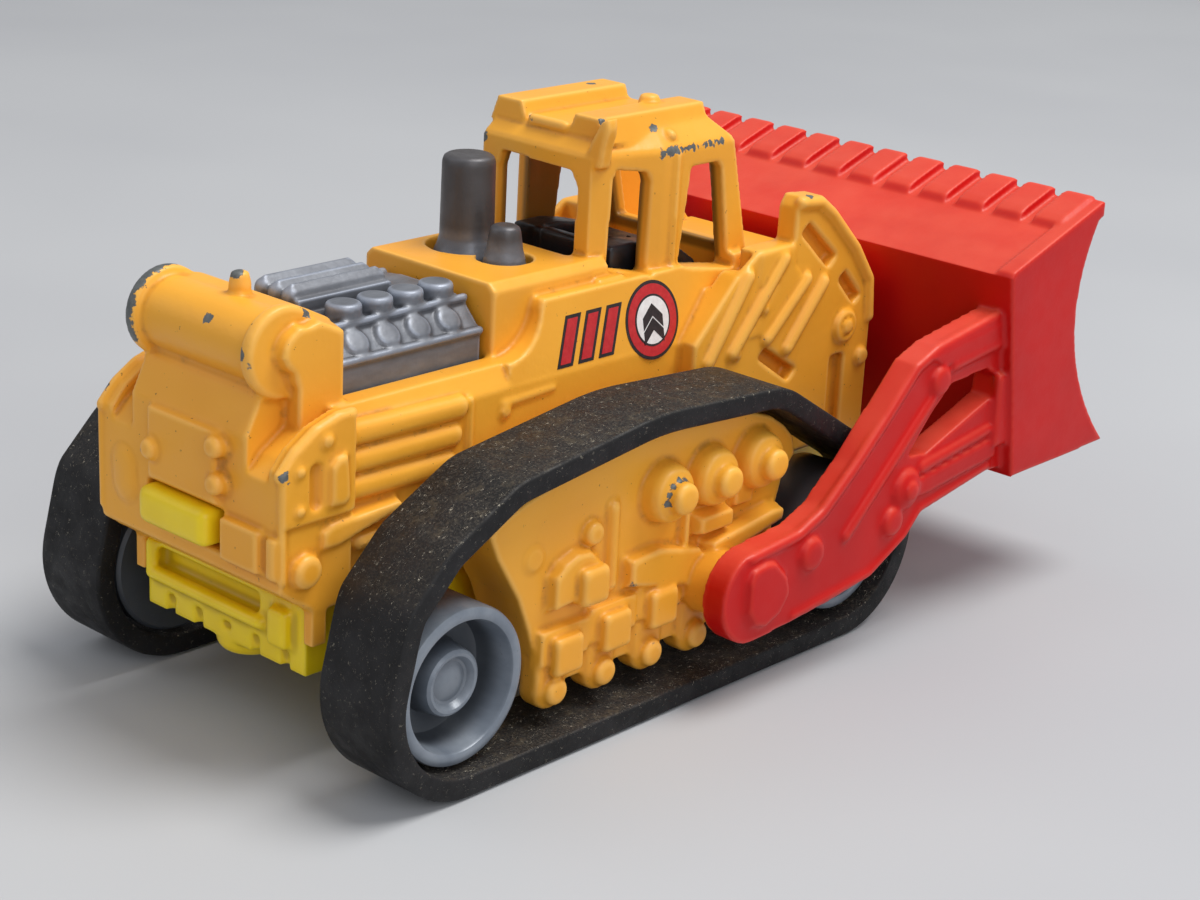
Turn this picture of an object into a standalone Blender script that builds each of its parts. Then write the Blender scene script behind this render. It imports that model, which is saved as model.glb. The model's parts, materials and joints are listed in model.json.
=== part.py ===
"""Toy bulldozer with a hinged front blade, rubber track belts and free-turning wheels.

Y points forward to the blade, X to the vehicle's right, Z up. Sizes below are in millimetres.
The outlines count y from the rear axle, and SHIFT_Y moves everything so that the origin is
the middle of the whole footprint, on the ground.
"""

import math

import bmesh
import bpy
from mathutils import Matrix, Vector

MM = 0.001
GAP = 0.3  # clearance between neighbouring pieces

# Running gear
WHEEL_R = 4.6
AXLE_R = 0.7
AXLE_Z = 6.2
AXLE_SPACING = 33.2
BELT_OUTER_X = 15.3
BELT_INNER_X = 9.7
BELT_THICK = 1.3
WHEEL_IN_X = 9.9
WHEEL_OUT_X = 14.4
HUB_R = 2.0
REAR_AXLE = (0.0, AXLE_Z)
FRONT_AXLE = (AXLE_SPACING, AXLE_Z)
# The belt runs round these arcs: centre y, centre z, radius, first and last angle.
BELT_GUIDES = [
    (0.0, AXLE_Z, AXLE_Z, 90, 280),
    (-0.4, 9.6, 5.0, 150, 175),
    (0.4, 11.6, 4.0, 120, 150),
    (4.2, 13.6, 4.0, 85, 120),
    (15.0, -1.1, 20.0, 78, 102),
    (23.4, 12.2, 6.2, 45, 85),
    (AXLE_SPACING, AXLE_Z, AXLE_Z, -100, 90),
]
BELT_STEP = 9  # degrees between the belt's corners

# Body casting
REAR_Y = -7.2
NOSE_Y = 42.3
BODY_BOTTOM = 9.7
HULL_X = 7.2
RAIL_X = 6.4
RAIL_Z = 20.5
POST_X = 8.0
POST_RIM_X = 6.7
POST_IN_X = 4.9
POST_TOP = [(-2.2, 20.6), (-3.2, 20.6), (-4.8, 20.1), (-6.2, 19.2), (REAR_Y, 18.1)]
PANEL_X = 6.3
PANEL_Z = 23.6
HOOD_X = 5.4
HOOD_REAR = 10.3
HOOD_Z = 24.8
FENDER_X = 8.8
FENDER_IN_X = 6.9
# Foot and top of each slanting rib, as (y, z)
FENDER_RIBS = (((25.8, 17.9), (29.2, 22.8)), ((28.1, 18.1), (32.6, 23.4)),
               ((31.4, 18.4), (35.0, 21.7)), ((33.5, 17.4), (36.8, 21.2)))
DECK_Z = 21.4
WALL = 1.3
WELL_X = 5.0
WELL_REAR = -1.0
CAVITY_TOP = 18.6
POSTS = (-2.7, 37.0)  # y of the posts spun over under the base plate
POST_R = 1.3
TAIL_LOW_X = -3.3
TAIL_HIGH_X = 2.8

# Cab
CAB_REAR = 18.9
CAB_CORNER_Y = 24.0
CAB_FRONT = 30.4
CAB_FOOT_Y = 32.8
CAB_REAR_X = 4.5
CAB_SIDE_X = 5.8
CAB_EAVE_Z = 30.4
ROOF_Z = 32.1
CAB_TOP_Z = 33.3
CAB_WALL = 1.1
CAB_FLOOR = 22.6

# Winch drum across the tail
DRUM_Y = -4.8
DRUM_Z = 23.7
DRUM_R = 2.05
FLANGE_R = 2.5
FLANGE_X = 5.3

# Stacks on the engine insert: x, y, radius, top
BIG_STACK = (-2.1, 15.4, 1.65, 30.3)
SMALL_STACK = (1.5, 15.0, 1.1, 26.8)

# Track frames, which stand between the belts' runs
FRAME_IN_X = 9.2
FRAME_OUT_X = 13.2
STUDS = ((16.7, 13.2), (20.7, 13.3), (24.9, 13.4))
ROLLER_PITCH = 4.05

# Blade and its arms
PIVOT = (20.7, 6.8)
PIVOT_BOSS_R = 2.0
PEG_R = 1.3
ARM_IN_X = 15.9
ARM_OUT_X = 17.6
ARM_END_R = 2.9
BLADE_X = 18.5
BLADE_TIP = (53.4, 25.8)
BLADE_CREASE = (43.2, 22.5)
BLADE_HEEL = (45.6, 8.7)
BLADE_LIP = (56.5, 8.9)
BLADE_WALL = 1.3
BLADE_BOW = 3.5  # how far the blade's side edge curves back
TOOTH_COUNT = 12
TOOTH_PITCH = 3.0
TOOTH_WIDTH = 2.1

SHIFT_Y = -(REAR_Y - 0.7 + BLADE_LIP[0]) / 2

ROUND = 32
SMALL_ROUND = 16


# Scene and material helpers


def clear_scene():
    for obj in list(bpy.data.objects):
        bpy.data.objects.remove(obj, do_unlink=True)


def material(name, colour, roughness, metallic=0.0):
    made = bpy.data.materials.new(name)
    made.use_nodes = True
    shader = made.node_tree.nodes["Principled BSDF"]
    shader.inputs["Base Color"].default_value = (*colour, 1)
    shader.inputs["Roughness"].default_value = roughness
    shader.inputs["Metallic"].default_value = metallic
    return made


# Shapes: each is a closed bmesh in millimetres, in the vehicle's own axes


def placed(axis, u, v, t):
    """A point from two coordinates across an axis and one along it."""
    if axis == "X":
        return Vector((t, u, v))
    if axis == "Y":
        return Vector((u, t, v))
    return Vector((u, v, t))


def prism(outline, axis, low, high):
    shape = bmesh.new()
    rings = [[shape.verts.new(placed(axis, u, v, t)) for u, v in outline] for t in (low, high)]
    count = len(outline)
    shape.faces.new(rings[0])
    shape.faces.new(rings[1])
    for i in range(count):
        j = (i + 1) % count
        shape.faces.new((rings[0][i], rings[0][j], rings[1][j], rings[1][i]))
    bmesh.ops.recalc_face_normals(shape, faces=shape.faces)
    return shape


def box(low, high):
    outline = [(low[0], low[1]), (high[0], low[1]), (high[0], high[1]), (low[0], high[1])]
    return prism(outline, "Z", low[2], high[2])


def arc(centre, radius, start, end, steps):
    points = []
    for i in range(steps + 1):
        angle = math.radians(start + (end - start) * i / steps)
        points.append((centre[0] + radius * math.cos(angle), centre[1] + radius * math.sin(angle)))
    return points


def cylinder(axis, centre, radius, low, high, sides=SMALL_ROUND):
    return prism(arc(centre, radius, 0, 360 - 360 / sides, sides - 1), axis, low, high)


def turned(axis, centre, profile, sides=ROUND):
    """A closed solid of revolution. The profile is (radius, distance along the axis) from
    one end to the other, and starts and ends on the axis or closes on itself."""
    shape = bmesh.new()
    rings = []
    for radius, t in profile:
        if radius == 0:
            rings.append([shape.verts.new(placed(axis, centre[0], centre[1], t))])
        else:
            ring = arc(centre, radius, 0, 360 - 360 / sides, sides - 1)
            rings.append([shape.verts.new(placed(axis, u, v, t)) for u, v in ring])
    for first, second in zip(rings, rings[1:]):
        for i in range(sides):
            j = (i + 1) % sides
            corners = [first[i % len(first)], first[j % len(first)]]
            corners += [second[j % len(second)], second[i % len(second)]]
            unique = list(dict.fromkeys(corners))
            if len(unique) > 2:
                shape.faces.new(unique)
    bmesh.ops.recalc_face_normals(shape, faces=shape.faces)
    return shape


def mirrored(shape):
    """The same shape on the vehicle's other side."""
    copy = shape.copy()
    bmesh.ops.scale(copy, vec=(-1, 1, 1), verts=copy.verts)
    bmesh.ops.reverse_faces(copy, faces=copy.faces)
    return copy


def both_sides(shape):
    return [shape, mirrored(shape)]


def sided(shape, side):
    return shape if side > 0 else mirrored(shape)


# Turning shapes into objects


def mesh_object(name, shape, origin):
    """Bakes a shape into an object whose origin is a point of the vehicle."""
    for vertex in shape.verts:
        vertex.co = (vertex.co - Vector(origin)) * MM
    mesh = bpy.data.meshes.new(name)
    shape.to_mesh(mesh)
    shape.free()
    obj = bpy.data.objects.new(name, mesh)
    obj.location = (origin[0] * MM, (origin[1] + SHIFT_Y) * MM, origin[2] * MM)
    bpy.context.scene.collection.objects.link(obj)
    return obj


def tool_collection(name, shapes, origin):
    group = bpy.data.collections.new(name)
    bpy.context.scene.collection.children.link(group)
    for i, shape in enumerate(shapes):
        tool = mesh_object(f"{name}.{i}", shape, origin)
        bpy.context.scene.collection.objects.unlink(tool)
        group.objects.link(tool)
        tool.hide_render = True
        tool.display_type = "WIRE"
    return group


def piece(name, look, solids, cuts=(), origin=(0, 0, 0)):
    """One sub-part: the first solid, joined with the others, less the cuts."""
    obj = mesh_object(name, solids[0], origin)
    obj.data.materials.append(look)
    steps = (("UNION", "joined", solids[1:]), ("DIFFERENCE", "cut", cuts))
    for operation, label, shapes in steps:
        if not shapes:
            continue
        modifier = obj.modifiers.new(label, "BOOLEAN")
        modifier.operation = operation
        modifier.solver = "EXACT"
        modifier.operand_type = "COLLECTION"
        modifier.collection = tool_collection(f"{name}_{label}", shapes, origin)
    obj.data.shade_smooth()
    obj.data.set_sharp_from_angle(angle=math.radians(35))
    return obj


# Body casting


def rear_solids():
    """The tail between two posts, whose tops climb forward to the rail."""
    foot = [(REAR_Y, 11.4), (-4.8, BODY_BOTTOM), (-2.2, BODY_BOTTOM)]
    middle = prism(foot + [(-2.2, 21.5), (-6.2, 21.5), (REAR_Y, 19.4)], "X", -POST_IN_X, POST_IN_X)
    outer = prism(foot + POST_TOP, "X", POST_RIM_X, POST_X)
    inner = prism(foot + [(y, z - 0.75) for y, z in POST_TOP], "X", POST_IN_X - 1, POST_RIM_X + 0.1)
    solids = [middle, *both_sides(outer), *both_sides(inner)]
    solids.append(box((-3.2, REAR_Y - 0.4, 14.9), (3.0, REAR_Y + 0.5, 19.45)))
    solids.append(box((3.2, REAR_Y - 0.5, 12.1), (6.5, REAR_Y + 0.5, 14.75)))
    solids.append(box((6.9, REAR_Y - 0.4, 12.1), (7.75, REAR_Y + 0.5, 14.6)))
    for x, z in ((-2.55, 16.9), (2.95, 18.5), (3.0, 16.4)):
        solids.append(cylinder("Y", (x, z), 0.62, REAR_Y - 0.7, REAR_Y + 0.5))
    return solids


def drum_solids():
    """The winch drum across the tail, with the cowl and cheeks in front of it."""
    cowl = [(DRUM_Y, 20.4), (DRUM_Y, DRUM_Z + DRUM_R - 0.1), (-2.8, 25.6), (-1.2, 24.8), (-1.2, 19.8)]
    web = [(-6.0, 20.9), (-6.0, 22.6), (-3.0, 22.6), (-3.0, 20.9)]
    edge = FLANGE_X - 0.9
    profile = [(0, -FLANGE_X), (FLANGE_R, -FLANGE_X), (FLANGE_R, -edge), (DRUM_R, -edge)]
    profile += [(DRUM_R, edge), (FLANGE_R, edge), (FLANGE_R, FLANGE_X), (0, FLANGE_X)]
    cheek = arc((DRUM_Y + 0.5, DRUM_Z + 0.15), 1.6, 70, 240, 7)
    cheek += [(-4.5, 21.6), (-4.6, 19.0), (-1.15, 19.0), (-1.15, 24.8), (-2.8, 25.55)]
    solids = [prism(cowl, "X", -4.6, 4.6), prism(web, "X", -4.6, 4.6)]
    solids += [turned("X", (DRUM_Y, DRUM_Z), profile), *both_sides(prism(cheek, "X", 4.0, 6.0))]
    solids.append(cylinder("Z", (0.5, -4.0), 0.62, 24.6, 27.0))
    return solids


def hull_solids():
    section = [(-HULL_X, BODY_BOTTOM), (HULL_X, BODY_BOTTOM), (HULL_X, 19.2), (RAIL_X, RAIL_Z)]
    section += [(-RAIL_X, RAIL_Z), (-HULL_X, 19.2)]
    solids = [prism(section, "Y", -2.6, NOSE_Y - 1.0)]
    for i in range(3):
        middle = 19.1 - 1.55 * i
        solids += both_sides(box((HULL_X - 0.4, -2.8, middle - 0.5), (7.75, 6.5 - 0.4 * i, middle + 0.5)))
    foot = [(-4.6, 13.1), (-4.6, 14.5), (-4.0, 14.8), (1.4, 15.0), (1.6, 14.6), (0.4, 14.0), (-3.6, 13.1)]
    flank_pad = [(-4.3, 15.6), (-4.3, 18.2), (-3.9, 18.6), (-2.8, 18.7), (-2.6, 15.8), (-2.9, 15.5)]
    solids += both_sides(prism(foot, "X", HULL_X - 0.4, 8.05))
    solids += both_sides(prism(flank_pad, "X", HULL_X - 0.4, 8.35))
    solids += both_sides(cylinder("X", (-5.6, 12.4), 0.95, 7.4, 8.4))
    return solids


def flank_x(z):
    """Half the width of the side panel, which leans in towards its top."""
    return HULL_X + (PANEL_X - HULL_X) * (z - 19.0) / (PANEL_Z - 19.0)


def shoulder_solids():
    """The raised sides under the cab, with a hollow curve up from the rail."""
    outline = [(10.2, 19.0), (10.2, RAIL_Z)]
    outline += arc((10.2, PANEL_Z), PANEL_Z - RAIL_Z, -80, -10, 5)
    outline += [(13.4, PANEL_Z), (31.4, PANEL_Z), (31.4, 19.0)]
    panel = prism(outline, "X", -1, 1)
    for vertex in panel.verts:
        vertex.co.x *= flank_x(vertex.co.z)
    hood = [(-HOOD_X, 19.0), (-HOOD_X, HOOD_Z - 0.5), (0.5 - HOOD_X, HOOD_Z)]
    hood += [(HOOD_X - 0.5, HOOD_Z), (HOOD_X, HOOD_Z - 0.5), (HOOD_X, 19.0)]
    return [panel, prism(hood, "Y", HOOD_REAR, CAB_REAR + 1)]


def cab_outline(inset, front=CAB_FRONT):
    """The cab seen from above, its walls moved in by the inset."""
    half = [(CAB_REAR_X - 0.78 * inset, CAB_REAR + inset)]
    half += [(CAB_SIDE_X - inset, CAB_CORNER_Y + 0.13 * inset), (CAB_SIDE_X - inset, front - inset)]
    return half + [(-x, y) for x, y in reversed(half)]


def lofted(outlines):
    """A closed solid through outlines of (x, y) that have their own heights."""
    shape = bmesh.new()
    rings = [[shape.verts.new((x, y, z)) for x, y in outline] for outline, z in outlines]
    for low, high in zip(rings, rings[1:]):
        for i in range(len(low)):
            j = (i + 1) % len(low)
            shape.faces.new((low[i], low[j], high[j], high[i]))
    shape.faces.new(rings[0])
    shape.faces.new(rings[-1])
    bmesh.ops.recalc_face_normals(shape, faces=shape.faces)
    return shape


def cab_solids():
    """Walls whose front leans forward at the foot, and a roof with sloping sides."""
    walls = lofted([(cab_outline(0, CAB_FOOT_Y), 21.0), (cab_outline(0), CAB_EAVE_Z + 0.3)])
    eave = (cab_outline(0.1), CAB_EAVE_Z + 0.5)
    roof = lofted([(cab_outline(0), CAB_EAVE_Z), eave, (cab_outline(1.3), ROOF_Z)])
    ridge = [(1.6, ROOF_Z - 0.7), (4.8, ROOF_Z - 0.7), (4.2, ROOF_Z + 0.8), (2.2, ROOF_Z + 0.8)]
    ridges = both_sides(prism(ridge, "Y", CAB_REAR + 0.8, CAB_FRONT - 1.3))
    beacon = cylinder("Z", (2.3, 26.2), 0.7, ROOF_Z - 0.3, CAB_TOP_Z)
    horn = [(3.9, 30.2), (4.2, 31.6), (5.0, 33.0), (5.5, 33.2), (5.6, 32.6), (5.3, 31.4), (5.1, 30.2)]
    return [walls, roof, *ridges, beacon, prism(horn, "Y", CAB_REAR + 0.05, CAB_REAR + 1.0)]


def cab_cuts():
    shaft = prism(cab_outline(CAB_WALL), "Z", 17.0, 22.0)
    inside = lofted([(cab_outline(CAB_WALL, CAB_FOOT_Y), 21.0), (cab_outline(CAB_WALL), CAB_EAVE_Z + 0.2)])
    rear = [(-3.3, 24.0), (3.3, 24.0), (3.3, 28.8), (2.9, 29.8), (-2.9, 29.8), (-3.3, 28.8)]
    rear_window = prism(rear, "Y", CAB_REAR - 0.5, CAB_REAR + 2)
    windscreen = box((-4.3, CAB_FRONT - 2, 23.8), (4.3, CAB_FOOT_Y + 1, 29.5))
    side = [(25.7, 23.5), (30.4, 22.7), (29.3, 29.1), (28.9, 29.5), (26.5, 29.5)]
    corner = [(20.3, 24.0), (23.0, 23.4), (23.1, 29.0), (22.8, 29.6), (20.6, 29.9)]
    windows = [*both_sides(prism(side, "X", 4.2, 8)), *both_sides(prism(corner, "X", 3.9, 8))]
    return [shaft, inside, rear_window, windscreen, *windows]


def fender_solids():
    """Pillars beside the blade's back, with ribs, a shoulder and round bosses."""
    outline = [(24.6, 19.2), (28.2, 22.8), (30.2, 24.1), (33.65, 24.2), (33.7, 26.4), (34.2, 27.1)]
    outline += [(36.1, 26.9), (37.5, 25.9), (40.2, 23.2), (41.9, 20.9), (NOSE_Y, 19.6), (NOSE_Y, 10.0)]
    outline.append((24.6, 10.0))
    solids = both_sides(prism(outline, "X", FENDER_IN_X, FENDER_X - 0.3))
    solids.append(box((-FENDER_IN_X - 0.5, 30.6, BODY_BOTTOM), (FENDER_IN_X + 0.5, NOSE_Y, DECK_Z)))
    for (y0, z0), (y1, z1) in FENDER_RIBS:
        rib = [(y0 - 0.45, z0), (y0 + 0.45, z0), (y1 + 0.45, z1), (y1 - 0.45, z1)]
        solids += both_sides(prism(rib, "X", FENDER_X - 0.6, FENDER_X + 0.1))
    solids += both_sides(box((HULL_X - 0.4, 30.2, 21.8), (FENDER_X - 0.2, 33.8, 24.2)))
    for y, z, radius in ((39.4, 17.8, 0.95), (41.4, 15.4, 0.6)):
        solids += both_sides(cylinder("X", (y, z), radius, FENDER_X - 0.6, FENDER_X + 0.1))
    return solids


def fender_cuts():
    upper = [(34.3, 24.7), (35.1, 25.3), (38.1, 22.7), (37.3, 22.0)]
    lower = [(38.5, 21.0), (39.2, 21.5), (41.0, 19.6), (40.3, 19.1)]
    slot = [(30.8, 17.2), (31.5, 17.8), (34.7, 15.8), (34.0, 15.1)]
    foot = [(38.3, 10.4), (39.7, 10.4), (39.7, 15.9), (38.3, 15.9)]
    cuts = []
    for outline in (upper, lower, slot, foot):
        cuts += both_sides(prism(outline, "X", FENDER_X - 1.1, FENDER_X + 1))
    return cuts


def grille_cuts():
    return [box((-4.6, NOSE_Y - 0.5, 12.0 + 1.5 * i), (4.6, NOSE_Y + 1, 12.7 + 1.5 * i)) for i in range(5)]


def body_cuts():
    hollow = [(REAR_Y + 1.6, 5.0), (REAR_Y + 1.6, 17.3), (-4.2, CAVITY_TOP), (NOSE_Y - 1.6, CAVITY_TOP)]
    hollow.append((NOSE_Y - 1.6, 5.0))
    cavity = prism(hollow, "X", WALL - HULL_X, HULL_X - WALL)
    well = box((-WELL_X, WELL_REAR, 17.0), (WELL_X, HOOD_REAR, 30.0))
    under_hood = box((-4.5, HOOD_REAR + 1.1, 17.0), (4.5, CAB_REAR - 0.6, HOOD_Z - 1.0))
    large = cylinder("Z", BIG_STACK[:2], 2.4, 20.0, 27.0, ROUND)
    small = cylinder("Z", SMALL_STACK[:2], 1.7, 20.0, 27.0)
    neck = box((-2.0, 14.2, 22.0), (1.5, 15.8, 27.0))
    tail_slot = box((TAIL_LOW_X - GAP, REAR_Y - 1, 12.3), (TAIL_HIGH_X + GAP, REAR_Y + 3, 14.8))
    recess = box((POST_X - 0.5, -5.4, 15.7), (POST_X + 1, -4.5, 18.3))
    return [cavity, well, under_hood, large, small, neck, tail_slot, *both_sides(recess)]


def rivet_post(y):
    """A post of the casting with its head spun over under the base plate."""
    profile = [(0, 19.5), (POST_R, 19.5), (POST_R, 5.1), (2.0, 5.1), (1.7, 4.6), (0, 4.5)]
    return turned("Z", (0, y), profile, SMALL_ROUND)


def body_casting(look):
    solids = [*rear_solids(), *drum_solids(), *hull_solids(), *shoulder_solids()]
    solids += [*cab_solids(), *fender_solids()]
    cuts = [*body_cuts(), *cab_cuts(), *fender_cuts(), *grille_cuts()]
    shell = piece("body_casting", look, solids, cuts)
    posts = shell.modifiers.new("posts", "BOOLEAN")
    posts.operation = "UNION"
    posts.operand_type = "COLLECTION"
    posts.collection = tool_collection("body_casting_posts", [rivet_post(y) for y in POSTS], (0, 0, 0))


# Plastic pieces held in the casting


def base_plate(look):
    floor = box((-7.1, -4.7, 5.4), (7.1, 41.0, BODY_BOTTOM - GAP))
    lip = box((-5.5, REAR_Y + 2.0, 8.0), (5.5, NOSE_Y - 2.0, 11.0))
    tongue = box((TAIL_LOW_X, -5.1, 10.0), (TAIL_HIGH_X, -4.3, 14.5))
    tail = box((TAIL_LOW_X, REAR_Y - 0.7, 12.6), (TAIL_HIGH_X, -4.3, 14.5))
    keel = box((-4.0, 5.0, 4.6), (4.0, 28.0, 6.0))
    foot = box((4.3, -5.3, 6.9), (5.9, -4.3, 9.2))
    cuts = [cylinder("X", axle, AXLE_R + GAP, -9, 9) for axle in (REAR_AXLE, FRONT_AXLE)]
    cuts += [cylinder("Z", (0, y), POST_R + GAP, 3.0, 13.0) for y in POSTS]
    cuts.append(box((-6.0, -6.0, 8.0), (3.0, -4.3, 9.0)))
    for i in range(5):
        x = -5.2 + 2.5 * i
        cuts.append(box((x, -6.0, 5.0), (x + 0.7, -4.3, 6.7)))
    piece("base_plate", look, [floor, lip, tongue, tail, keel, foot], cuts)


def stack(place, base_radius, taper):
    """An exhaust with a flared foot: it narrows towards its top by the taper."""
    x, y, radius, top = place
    profile = [(0, 17.5), (base_radius, 17.5), (base_radius, 24.5), (radius + 0.15, 24.8)]
    profile += [(radius, 25.3), (radius - taper, top - 0.4), (radius - taper - 0.35, top), (0, top)]
    return turned("Z", (x, y), profile, 24)


def engine_insert(look):
    section = [(-4.7, 18.0), (-4.7, 22.1), (-3.4, 23.5), (-1.8, 23.9)]
    section += [(1.8, 23.9), (3.4, 23.5), (4.7, 22.1), (4.7, 18.0)]
    block = prism(section, "Y", WELL_REAR + GAP, HOOD_REAR - GAP)
    plate = box((-4.2, WELL_REAR + GAP, 16.9), (4.2, 17.6, 18.3))
    pack = box((-2.9, -0.3, 23.0), (0.9, 6.6, 24.7))
    pipes = [cylinder("Y", (1.15 * i - 2.3, 24.75), 0.55, 0.0, 6.2, 12) for i in range(3)]
    bumps = []
    for i in range(4):
        y = 1.1 + 2.3 * i
        bumps.append(cylinder("Z", (2.5, y + 0.5), 1.04, 22.8, 24.76))
        cap = cylinder("Z", (4.08, y), 0.84, 22.0, 23.1, 12)
        lean = Matrix.Rotation(math.radians(46), 3, "Y")
        bmesh.ops.rotate(cap, cent=(4.08, y, 22.85), matrix=lean, verts=cap.verts)
        bumps += both_sides(cap)
    stacks = [stack(BIG_STACK, 2.0, 0.05), stack(SMALL_STACK, 1.35, 0.15)]
    piece("engine_insert", look, [block, plate, pack, *pipes, *bumps, *stacks])


def cab_interior(look):
    inset = CAB_WALL + GAP
    base = CAB_FLOOR - 0.6
    floor = prism(cab_outline(inset), "Z", CAVITY_TOP + GAP, CAB_FLOOR)
    seat = box((-1.9, 21.6, base), (1.9, 25.0, 23.4))
    back = box((-1.9, 21.4, base), (1.9, 22.4, 24.3))
    console = box((-3.4, 26.6, base), (3.4, 28.8, 23.7))
    armrests = both_sides(box((2.6, 22.6, base), (3.9, 26.2, 23.8)))
    piece("cab_interior", look, [floor, seat, back, console, *armrests])


def frame_pads():
    """Boxes and bosses of the outer face: outline or circle, and how far out each stands."""
    low = FRAME_OUT_X - 0.4
    outlines = [
        ([(7.2, 8.1), (7.2, 10.4), (7.9, 11.2), (9.2, 11.6), (10.6, 11.5), (11.5, 10.7), (11.4, 8.5)], 14.0),
        ([(9.1, 8.2), (11.3, 8.2), (11.3, 10.5), (9.1, 10.5)], 14.6),
        ([(13.6, 7.9), (13.6, 9.9), (16.0, 10.1), (20.1, 9.2), (20.1, 6.5)], 14.0),
        ([(12.2, 8.5), (13.0, 8.5), (13.0, 13.2), (12.2, 13.2)], 13.7),
        ([(18.4, 9.0), (19.0, 9.0), (19.0, 11.8), (18.4, 11.8)], 13.8),
        ([(19.3, 9.7), (22.6, 9.7), (22.6, 11.2), (19.3, 11.2)], 14.2),
        ([(22.9, 10.6), (24.9, 10.6), (24.9, 12.2), (22.9, 12.2)], 13.7),
        ([(20.2, 7.6), (27.3, 8.9), (27.4, 10.2), (26.4, 10.3), (20.2, 9.1)], 14.4),
    ]
    pads = [prism(outline, "X", low, top) for outline, top in outlines]
    pads += [cylinder("X", (10.8, 12.1), 0.72, low, 13.85), cylinder("X", (6.3, 11.6), 0.8, low, 13.4)]
    for i, z in enumerate((5.75, 6.1, 6.4, 6.6)):
        y = 7.4 + 4.0 * i
        pads.append(box((low, y - 0.8, z - 0.9), (13.7, y + 3.4, z + 1.5)))
        pads.append(box((low, y, z - 1.4), (14.35, y + 2.3, z + 0.95)))
    return pads


# Running gear


def hull_of(points):
    """The convex outline around some points, anticlockwise."""
    def turn(a, b, c):
        return (b[0] - a[0]) * (c[1] - a[1]) - (b[1] - a[1]) * (c[0] - a[0])
    chains = []
    for ordered in (sorted(points), sorted(points, reverse=True)):
        chain = []
        for point in ordered:
            while len(chain) > 1 and turn(chain[-2], chain[-1], point) <= 1e-9:
                chain.pop()
            chain.append(point)
        chains += chain[:-1]
    return chains


def belt_outline(inset):
    points = []
    for y, z, radius, start, end in BELT_GUIDES:
        points += arc((y, z), radius - inset, start, end, round((end - start) / BELT_STEP))
    return hull_of(points)


def track_belt(name, side, look):
    outer = prism(belt_outline(0), "X", BELT_INNER_X, BELT_OUTER_X)
    inner = prism(belt_outline(BELT_THICK), "X", BELT_INNER_X - 1, BELT_OUTER_X + 1)
    piece(name, look, [sided(outer, side)], [sided(inner, side)])


def track_frame(name, side, look):
    plate = [(2.9, 13.8), (5.6, 15.1), (11.5, 16.4), (15.8, 16.9), (20.0, 16.85), (24.0, 16.5)]
    plate += [(26.6, 15.6), (28.0, 14.7), (28.9, 13.8), (29.2, 12.6), (28.2, 11.6), (27.6, 9.6)]
    plate += [(27.2, 5.0), (26.0, 3.4), (7.3, 3.4), (6.2, 7.2), (5.3, 9.4), (3.6, 12.2)]
    solids = [prism(plate, "X", FRAME_IN_X, FRAME_OUT_X), box((7.5, 8.0, 10.6), (9.6, 20.0, 15.0))]
    solids += frame_pads()
    for i in range(5):
        y = 7.9 + ROLLER_PITCH * i
        solids.append(box((12.0, y - 1.25, 3.1), (13.5, y + 1.25, 5.6)))
        solids.append(cylinder("X", (y, 3.3), 1.2, 11.6, 13.6, 12))
        solids.append(cylinder("X", (y, 3.35), 0.85, 11.6, 14.1, 12))
    for y, z in STUDS:
        profile = [(0, FRAME_OUT_X - 0.4), (1.85, FRAME_OUT_X - 0.4), (1.8, 14.0), (1.5, 14.5)]
        profile += [(1.0, 14.6), (0.95, 15.3), (0, 15.5)]
        solids.append(turned("X", (y, z), profile, SMALL_ROUND))
    solids.append(cylinder("X", PIVOT, PIVOT_BOSS_R, FRAME_OUT_X - 0.4, ARM_IN_X - GAP, 24))
    solids.append(cylinder("X", PIVOT, PEG_R, FRAME_OUT_X - 0.4, ARM_IN_X + 0.7, 20))
    piece(name, look, [sided(solid, side) for solid in solids])


def wheel(name, side, axle, look):
    """A plastic wheel with a deep dish and a hub that hides the end of its axle."""
    bore = AXLE_R + GAP
    profile = [(0, 13.0), (bore, 13.0), (bore, WHEEL_IN_X), (WHEEL_R, WHEEL_IN_X)]
    profile += [(WHEEL_R, WHEEL_OUT_X), (3.95, WHEEL_OUT_X), (3.7, 11.7), (HUB_R, 11.7)]
    profile += [(HUB_R, 13.4), (1.6, 13.8), (1.1, 13.6), (0, 13.6)]
    solid = turned("X", axle, profile)
    centre = side * (WHEEL_IN_X + WHEEL_OUT_X) / 2
    piece(name, look, [sided(solid, side)], origin=(centre, *axle))


def axle_pin(name, axle, look):
    piece(name, look, [cylinder("X", axle, AXLE_R, -12.7, 12.7)], origin=(0, *axle))


# Blade and arms


def arm_outline():
    """One lift arm: a bent beam from the pivot that widens into the blade's whole height."""
    beam = arc(PIVOT, ARM_END_R, 100, 275, 9)
    beam += [(28.0, 4.5), (32.0, 5.1), (35.4, 6.8), (36.8, 8.2), (43.8, 9.3), (46.2, 9.2)]
    beam += [(45.4, 20.4), (43.5, 20.1), (37.0, 19.1), (34.9, 18.3), (32.2, 15.7), (29.5, 13.1)]
    return beam + [(26.8, 10.9), (24.6, 10.0)]


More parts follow.
